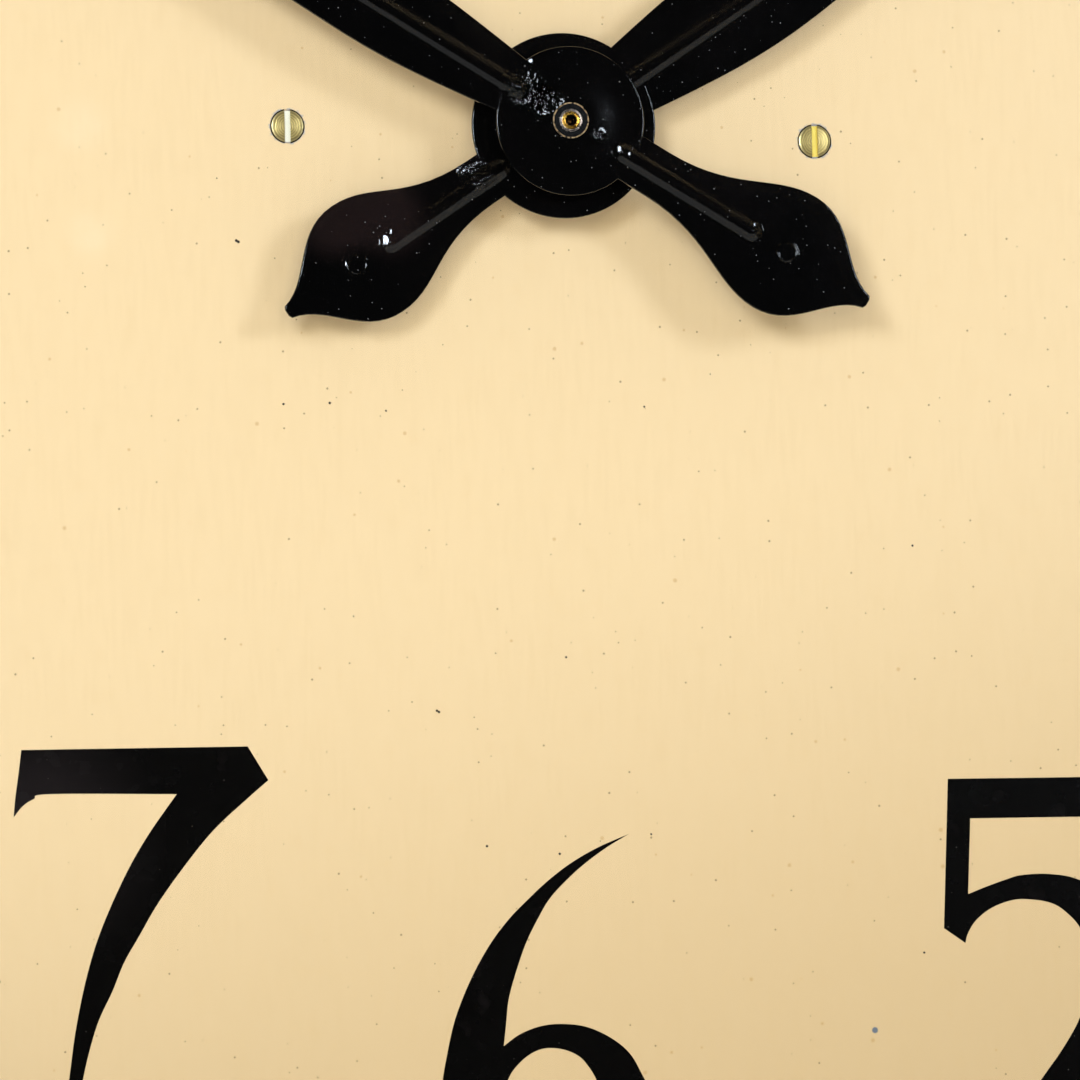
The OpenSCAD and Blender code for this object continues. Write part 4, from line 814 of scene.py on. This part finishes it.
def tail_outline(width, length, neck, tip):
    w, n, bulb = width / 2, neck / 2, length - 23
    side = bezier((n, 8), (n, 14), (n, 20), (n, 24), 5)
    side += bezier((n, 24), (n, 42), (w, bulb - 11), (w, bulb), 14)[1:]
    side += bezier((w, bulb), (w, bulb + 11), (3.5, bulb + 14), (tip / 2, length - 0.4), 14)[1:]
    side.append((tip / 4, length))
    return [(x, -y) for x, y in reversed(both_sides(side))]


print(len(tail_outline(30, 80, 12, 3)), "points around a tail")

# %% [markdown]
# ## The sheet and its edge
# A press leaves the front edge of the sheet rounded, and the enamel rounds it
# more. That edge is the thin bright line around each hand. The outline is made one
# face, extruded to the sheet's thickness, and its front edge bevelled.

# %% Press a sheet
HAND_T = 1.0
SHEET_EDGE_R = 0.34


def plate(mesh, points, top):
    """A flat sheet with a rounded front edge."""
    before = set(mesh.faces)
    ring = [mesh.verts.new((x, y, top - HAND_T)) for x, y in points]
    back = mesh.faces.new(ring)
    made = bmesh.ops.extrude_face_region(mesh, geom=[back])
    moved = [v for v in made["geom"] if isinstance(v, bmesh.types.BMVert)]
    bmesh.ops.translate(mesh, verts=moved, vec=(0, 0, HAND_T))
    front = [e for e in made["geom"] if isinstance(e, bmesh.types.BMEdge)]
    bmesh.ops.bevel(mesh, geom=front, offset=SHEET_EDGE_R, offset_type="OFFSET", segments=4, profile=0.5,
                    material=-1, affect="EDGES", clamp_overlap=True)
    # A thin ring of flat faces inside the edge keeps the rest of the sheet shaded flat.
    sheet = [f for f in mesh.faces if f not in before and f.calc_center_median().z > top - 0.01]
    bmesh.ops.inset_region(mesh, faces=[max(sheet, key=lambda f: f.calc_area())], thickness=0.04,
                           use_even_offset=True)


print("sheet", HAND_T, "mm thick")

# %% [markdown]
# ## The hub
# The disc at the hub is round, so it is turned: a profile from the hole over the
# front to the rim is spun about the axis. The front rises in a low boss around the
# hole, which a cosine draws without a crease.

# %% Turn a hub
EDGE_R = 0.3
BOSS_R, BOSS_H, BOSS_STEPS = 13.5, 0.45, 12
DISC_RISE = 0.05


def lathe(mesh, profile, steps, matrix):
    """Turns a profile of (radius, height) points about the z axis, then places it."""
    before = set(mesh.verts)
    verts = [mesh.verts.new((r, 0, z)) for r, z in profile]
    edges = [mesh.edges.new(pair) for pair in zip(verts, verts[1:])]
    bmesh.ops.spin(mesh, geom=verts + edges, cent=(0, 0, 0), axis=(0, 0, 1), angle=2 * math.pi, steps=steps,
                   use_merge=True)
    new = [v for v in mesh.verts if v not in before]
    bmesh.ops.remove_doubles(mesh, verts=new, dist=0.001)
    bmesh.ops.transform(mesh, matrix=matrix, verts=[v for v in mesh.verts if v not in before])


def hub(mesh, disc, hole, top):
    """The disc of a hand, with a rounded edge and a low boss around its hole."""
    edge_x, edge_z = disc - EDGE_R, DISC_RISE - EDGE_R
    profile = [(hole, -HAND_T), (edge_x, -HAND_T), (disc, -HAND_T + EDGE_R), (disc, edge_z)]
    for turn in map(math.radians, (22, 45, 68, 90)):
        profile.append((edge_x + EDGE_R * math.cos(turn), edge_z + EDGE_R * math.sin(turn)))
    # A narrow flat ring inside the edge keeps the rest of the disc shaded flat.
    profile.append((edge_x - 0.1, DISC_RISE))
    for i in range(BOSS_STEPS + 1):
        climb = i / BOSS_STEPS
        rise = BOSS_H * (0.5 - 0.5 * math.cos(math.pi * climb))
        profile.append((BOSS_R + (hole - BOSS_R) * climb, DISC_RISE + rise))
    profile.append((hole, -HAND_T))
    lathe(mesh, profile, 96, Matrix.Translation((0, 0, top)))


print("boss", BOSS_H, "mm high")

# %% [markdown]
# ## The rib
# A rib pressed along the middle stiffens the sheet. Its flank is what shows: it
# mirrors the table below as one grey band. A bevelled box would give flat flanks
# and hard ends. Here a grid is laid around the rib's middle line like a sleeve: one
# way runs around the line, the other runs from the crest down to the foot. Each
# point moves to its place by formula: a cosine from crest to foot, a half circle
# at either end, and a width that may taper along the rib.

# %% Press a rib
RIB_W, RIB_H = 3.2, 1.45
# How far below the sheet's front the rib's rim and its foot lie
RIM_SINK, FOOT_SINK = 0.02, 0.3
CREST_STEPS, CAP_STEPS, ALONG_STEPS = 14, 12, 30


def rib_ring(low, high, half_width, taper):
    """Around a rib from low to high: each place's x, y and its width as a share of the widest."""
    side = []
    for i in range(ALONG_STEPS + 1):
        t = i / ALONG_STEPS
        width = 1 + (taper - 1) * t
        side.append((half_width * width, low + (high - low) * t, width))
    turn = [math.pi * i / CAP_STEPS for i in range(1, CAP_STEPS)]
    end = half_width * taper
    ring = side + [(end * math.cos(a), high + end * math.sin(a), taper) for a in turn]
    ring += [(-x, y, width) for x, y, width in reversed(side)]
    ring += [(-half_width * math.cos(a), low - half_width * math.sin(a), 1) for a in turn]
    return ring


def rib(mesh, low, high, top, taper=1.0):
    """A pressed rib along y from low to high."""
    around = len(rib_ring(low, high, 0, taper))
    rows = CREST_STEPS + 1
    grid = bmesh.ops.create_grid(mesh, x_segments=around, y_segments=rows, size=1)["verts"]
    rings = []
    for i in range(rows):
        down = i / CREST_STEPS
        lift = RIB_H * (0.5 + 0.5 * math.cos(math.pi * down))
        ring = rib_ring(low, high, RIB_W * down, taper)
        rings.append([(x, y, top + lift * width - RIM_SINK) for x, y, width in ring])
    rings.append([(x, y, top - FOOT_SINK) for x, y, _ in rings[-1]])
    for vert in grid:
        step = round((vert.co.x + 1) / 2 * around) % around
        row = round((vert.co.y + 1) / 2 * rows)
        vert.co = rings[row][step]
    bmesh.ops.remove_doubles(mesh, verts=grid, dist=0.0001)
    foot = [e for e in mesh.edges if e.is_boundary]
    bmesh.ops.holes_fill(mesh, edges=foot, sides=0)


print("rib", 2 * RIB_W, "mm wide and", RIB_H, "mm high")

# %% [markdown]
# ## Drops of enamel
# Where the wet enamel ran together it dried as small drops. A drop could be half a
# ball, but that glints as a dot. Its top is a flat slope instead, turned on the
# lathe and then sheared to the left, towards the left lamp, so that all of it
# glints at once.

# %% A drop of enamel
DROP_SINK, DROP_FOOT = 0.3, 1.25
LEFTWARDS = Matrix(((1, 0, 0, 0), (0, 1, 0, 0), (LEAN, 0, 1, 0), (0, 0, 0, 1)))


def drop(mesh, x, y, half_wide, half_tall, height, top):
    """A drop that stands on the sheet, with a top that leans to the left."""
    # The top is almost flat: its rim lies only 0.03 mm lower than its middle.
    profile = [(0, height), (0.35, height - 0.003), (0.7, height - 0.012), (1, height - 0.03)]
    profile += [(DROP_FOOT, -DROP_SINK), (0, -DROP_SINK)]
    size = Matrix.Diagonal((half_wide, half_tall, 1, 1))
    lathe(mesh, profile, 24, Matrix.Translation((x, y, top)) @ LEFTWARDS @ size)


print("a drop leans", round(math.degrees(math.atan(LEAN)), 1), "degrees")

# %% [markdown]
# ## The two hands
# Blade, tail, disc and ribs are made pointing to twelve and turned to the time
# together. The drops come after that, because their places are read on the dial.
# The doubles are merged before the normals are worked out, so every shell is
# closed and faces outwards. Each hand stands in for the plain one of the CAD
# model.

# %% Put a hand together
TIP_TAPER = 0.6


def hand(name, body, node, angle, front, blade, tail, disc, hole, rib_low, rib_high, tail_rib, drops):
    """A pressed hand whose front lies front millimetres above the dial.

    The blade has a width, a length and a place where it is widest. The tail has the width
    of its bulb, a length, and the widths of its neck and its tip.
    """
    top = DIAL_Z + front
    shape = bmesh.new()
    plate(shape, blade_outline(*blade), top)
    plate(shape, tail_outline(*tail), top)
    hub(shape, disc, hole, top)
    rib(shape, rib_low, rib_high, top, TIP_TAPER)
    rib(shape, -tail_rib, -rib_low, top)
    shape.transform(clockwise(angle))
    for x, y, half_wide, half_tall, height in drops:
        drop(shape, x, y, half_wide, half_tall, height, top)
    bmesh.ops.remove_doubles(shape, verts=shape.verts, dist=0.002)
    bmesh.ops.recalc_face_normals(shape, faces=shape.faces)
    piece = hang(name, shape, body, "hand_enamel")
    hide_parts(node)
    piece.data.shade_smooth()
    piece.data.set_sharp_from_angle(angle=math.radians(40))
    print(name, "has", len(piece.data.polygons), "faces")
    return piece


hand("hour_hand_pressed", "hour_train", "hour_hand", angle=56.6, front=16.0,
     blade=(24.8, 165, 56), tail=(29.8, 79.8, 11.8, 3.2), disc=21.95, hole=7.3,
     rib_low=18.5, rib_high=119, tail_rib=50,
     drops=[(-43.4, -27.2, 0.9, 1.3, 1.0), (-42.0, -25.2, 0.5, 0.8, 1.0)])
hand("minute_hand_pressed", "minute_train", "minute_hand", angle=301.7, front=25.0,
     blade=(20.6, 255, 54), tail=(30.4, 82.4, 11.8, 3.2), disc=17.6, hole=4.27,
     rib_low=14.5, rib_high=185, tail_rib=50,
     drops=[(11.3, -7.0, 0.6, 0.9, 1.5), (13.6, -8.1, 0.5, 0.6, 1.75), (43.2, -24.9, 0.4, 0.6, 1.2)])

# %% [markdown]
# ## The floor
# The clock hangs over a plain pale floor. More lamps would make it white, but
# would also wash out the clock. A little emission, seen by camera rays alone, does
# it without lighting anything, and the floor keeps its shadow.

# %% Floor
FLOOR_Z, FLOOR_HALF = -0.36, 9
shape = bmesh.new()
bmesh.ops.create_grid(shape, x_segments=1, y_segments=1, size=FLOOR_HALF,
                      matrix=Matrix.Translation((0, 0, FLOOR_Z)))
floor_data = bpy.data.meshes.new("floor")
shape.to_mesh(floor_data)
shape.free()

paint = Paint("floor_paint", Roughness=0.9)
paint.set("Base Color", paint.mix(paint.noise(300, 2), (0.72, 0.71, 0.70), (0.76, 0.75, 0.74)))
seen = paint.node("ShaderNodeLightPath", {}, {}, "Is Camera Ray")
paint.set("Emission Color", paint.mix(seen, (0, 0, 0), (0.42, 0.42, 0.42)))
paint.set("Emission Strength", 1)
floor_data.materials.append(paint.material)
floor = bpy.data.objects.new("floor", floor_data)
bpy.context.scene.collection.objects.link(floor)
floor.visible_glossy = False
print("floor", 2 * FLOOR_HALF, "m wide")

# %% [markdown]
# ## Lamps
# Two cool soft boxes stand to the left and right of the reader, a little above the
# hub, and throw the two shadows of the hands. Point lamps would cut those shadows
# hard. A larger and warmer box fills in from the camera's side, where its own
# shadow hides behind the hands. A low card shows in the undersides of the ribs, as
# a table would, and lights nothing else.

# %% Soft boxes and card
WARM, COOL, WHITE = (1.0, 0.935, 0.81), (0.98, 1.07, 1.22), (1, 1, 1)
HUB = Vector((0, -DIAL_Z * MM, 0))
LAMP_DISTANCE = 1.5


def lamp(name, place, facing, size, power, colour, diffuse=True, glossy=True):
    """An area light at a place, facing a point. Sizes are in metres, power in watts."""
    data = bpy.data.lights.new(name, "AREA")
    data.shape = "RECTANGLE"
    data.size, data.size_y = size
    data.energy, data.color = power, colour
    made = bpy.data.objects.new(name, data)
    made.visible_camera, made.visible_diffuse, made.visible_glossy = False, diffuse, glossy
    bpy.context.scene.collection.objects.link(made)
    made.location = place
    made.rotation_mode = "QUATERNION"
    made.rotation_quaternion = (place - facing).to_track_quat("Z", "Y")
    print(name, power, "W")


def seen_from_hub(side_angle, rise_angle):
    """The place LAMP_DISTANCE from the hub, at these angles to the dial's axis."""
    a, e = math.radians(side_angle), math.radians(rise_angle)
    towards = Vector((math.sin(a) * math.cos(e), -math.cos(a) * math.cos(e), math.sin(e)))
    return HUB + towards * LAMP_DISTANCE


lamp("soft_box_right", seen_from_hub(27, 9), HUB, size=(0.30, 0.30), power=4.8, colour=COOL)
lamp("soft_box_left", seen_from_hub(-21, 7), HUB, size=(0.27, 0.27), power=7.2, colour=COOL)
lamp("fill", seen_from_hub(-10, -4), HUB, size=(0.60, 0.60), power=9.9, colour=WARM, glossy=False)
card = Vector((0.05, -0.30, FLOOR_Z + 0.005))
above_card = card + Vector((0, 0, 1))
lamp("low_card", card, above_card, size=(1.0, 0.30), power=0.46, colour=WHITE, diffuse=False)

# %% [markdown]
# ## The sky
# The rest of the light is an even fill. A plain grey world would also show in the
# black enamel and turn it grey. So the world answers each kind of ray apart: pale
# for the camera, warm and dim for light, and in reflections dark in front of the
# clock and bright behind it.

# %% World
world = bpy.data.worlds.new("world")
bpy.context.scene.world = world
world.use_nodes = True
sky = Graph(world.node_tree)


def backdrop(level, tint=WHITE):
    return sky.node("ShaderNodeBackground", {}, {"Color": tuple(level * c for c in tint)})


def choose(share, first, second):
    """The first light where share is 0, the second where it is 1."""
    return sky.node("ShaderNodeMixShader", {}, {0: share, 1: first, 2: second})


camera_ray = sky.node("ShaderNodeLightPath", {}, {}, "Is Camera Ray")
glossy_ray = sky.other_output(camera_ray, "Is Glossy Ray")
direction = sky.node("ShaderNodeTexCoord", {}, {}, "Generated")
into_wall = sky.node("ShaderNodeSeparateXYZ", {}, {"Vector": direction}, "Y")
behind = sky.node("ShaderNodeMapRange", {}, {"Value": into_wall})
mirrored = choose(behind, backdrop(0.01), backdrop(0.60))
light = choose(glossy_ray, backdrop(0.32, WARM), mirrored)
sky.plug(sky.tree.nodes["World Output"].inputs["Surface"], choose(camera_ray, light, backdrop(0.92)))
bpy.context.scene.view_settings.view_transform = "Standard"
print("world has", len(sky.tree.nodes), "nodes")

# %% [markdown] ## Finish
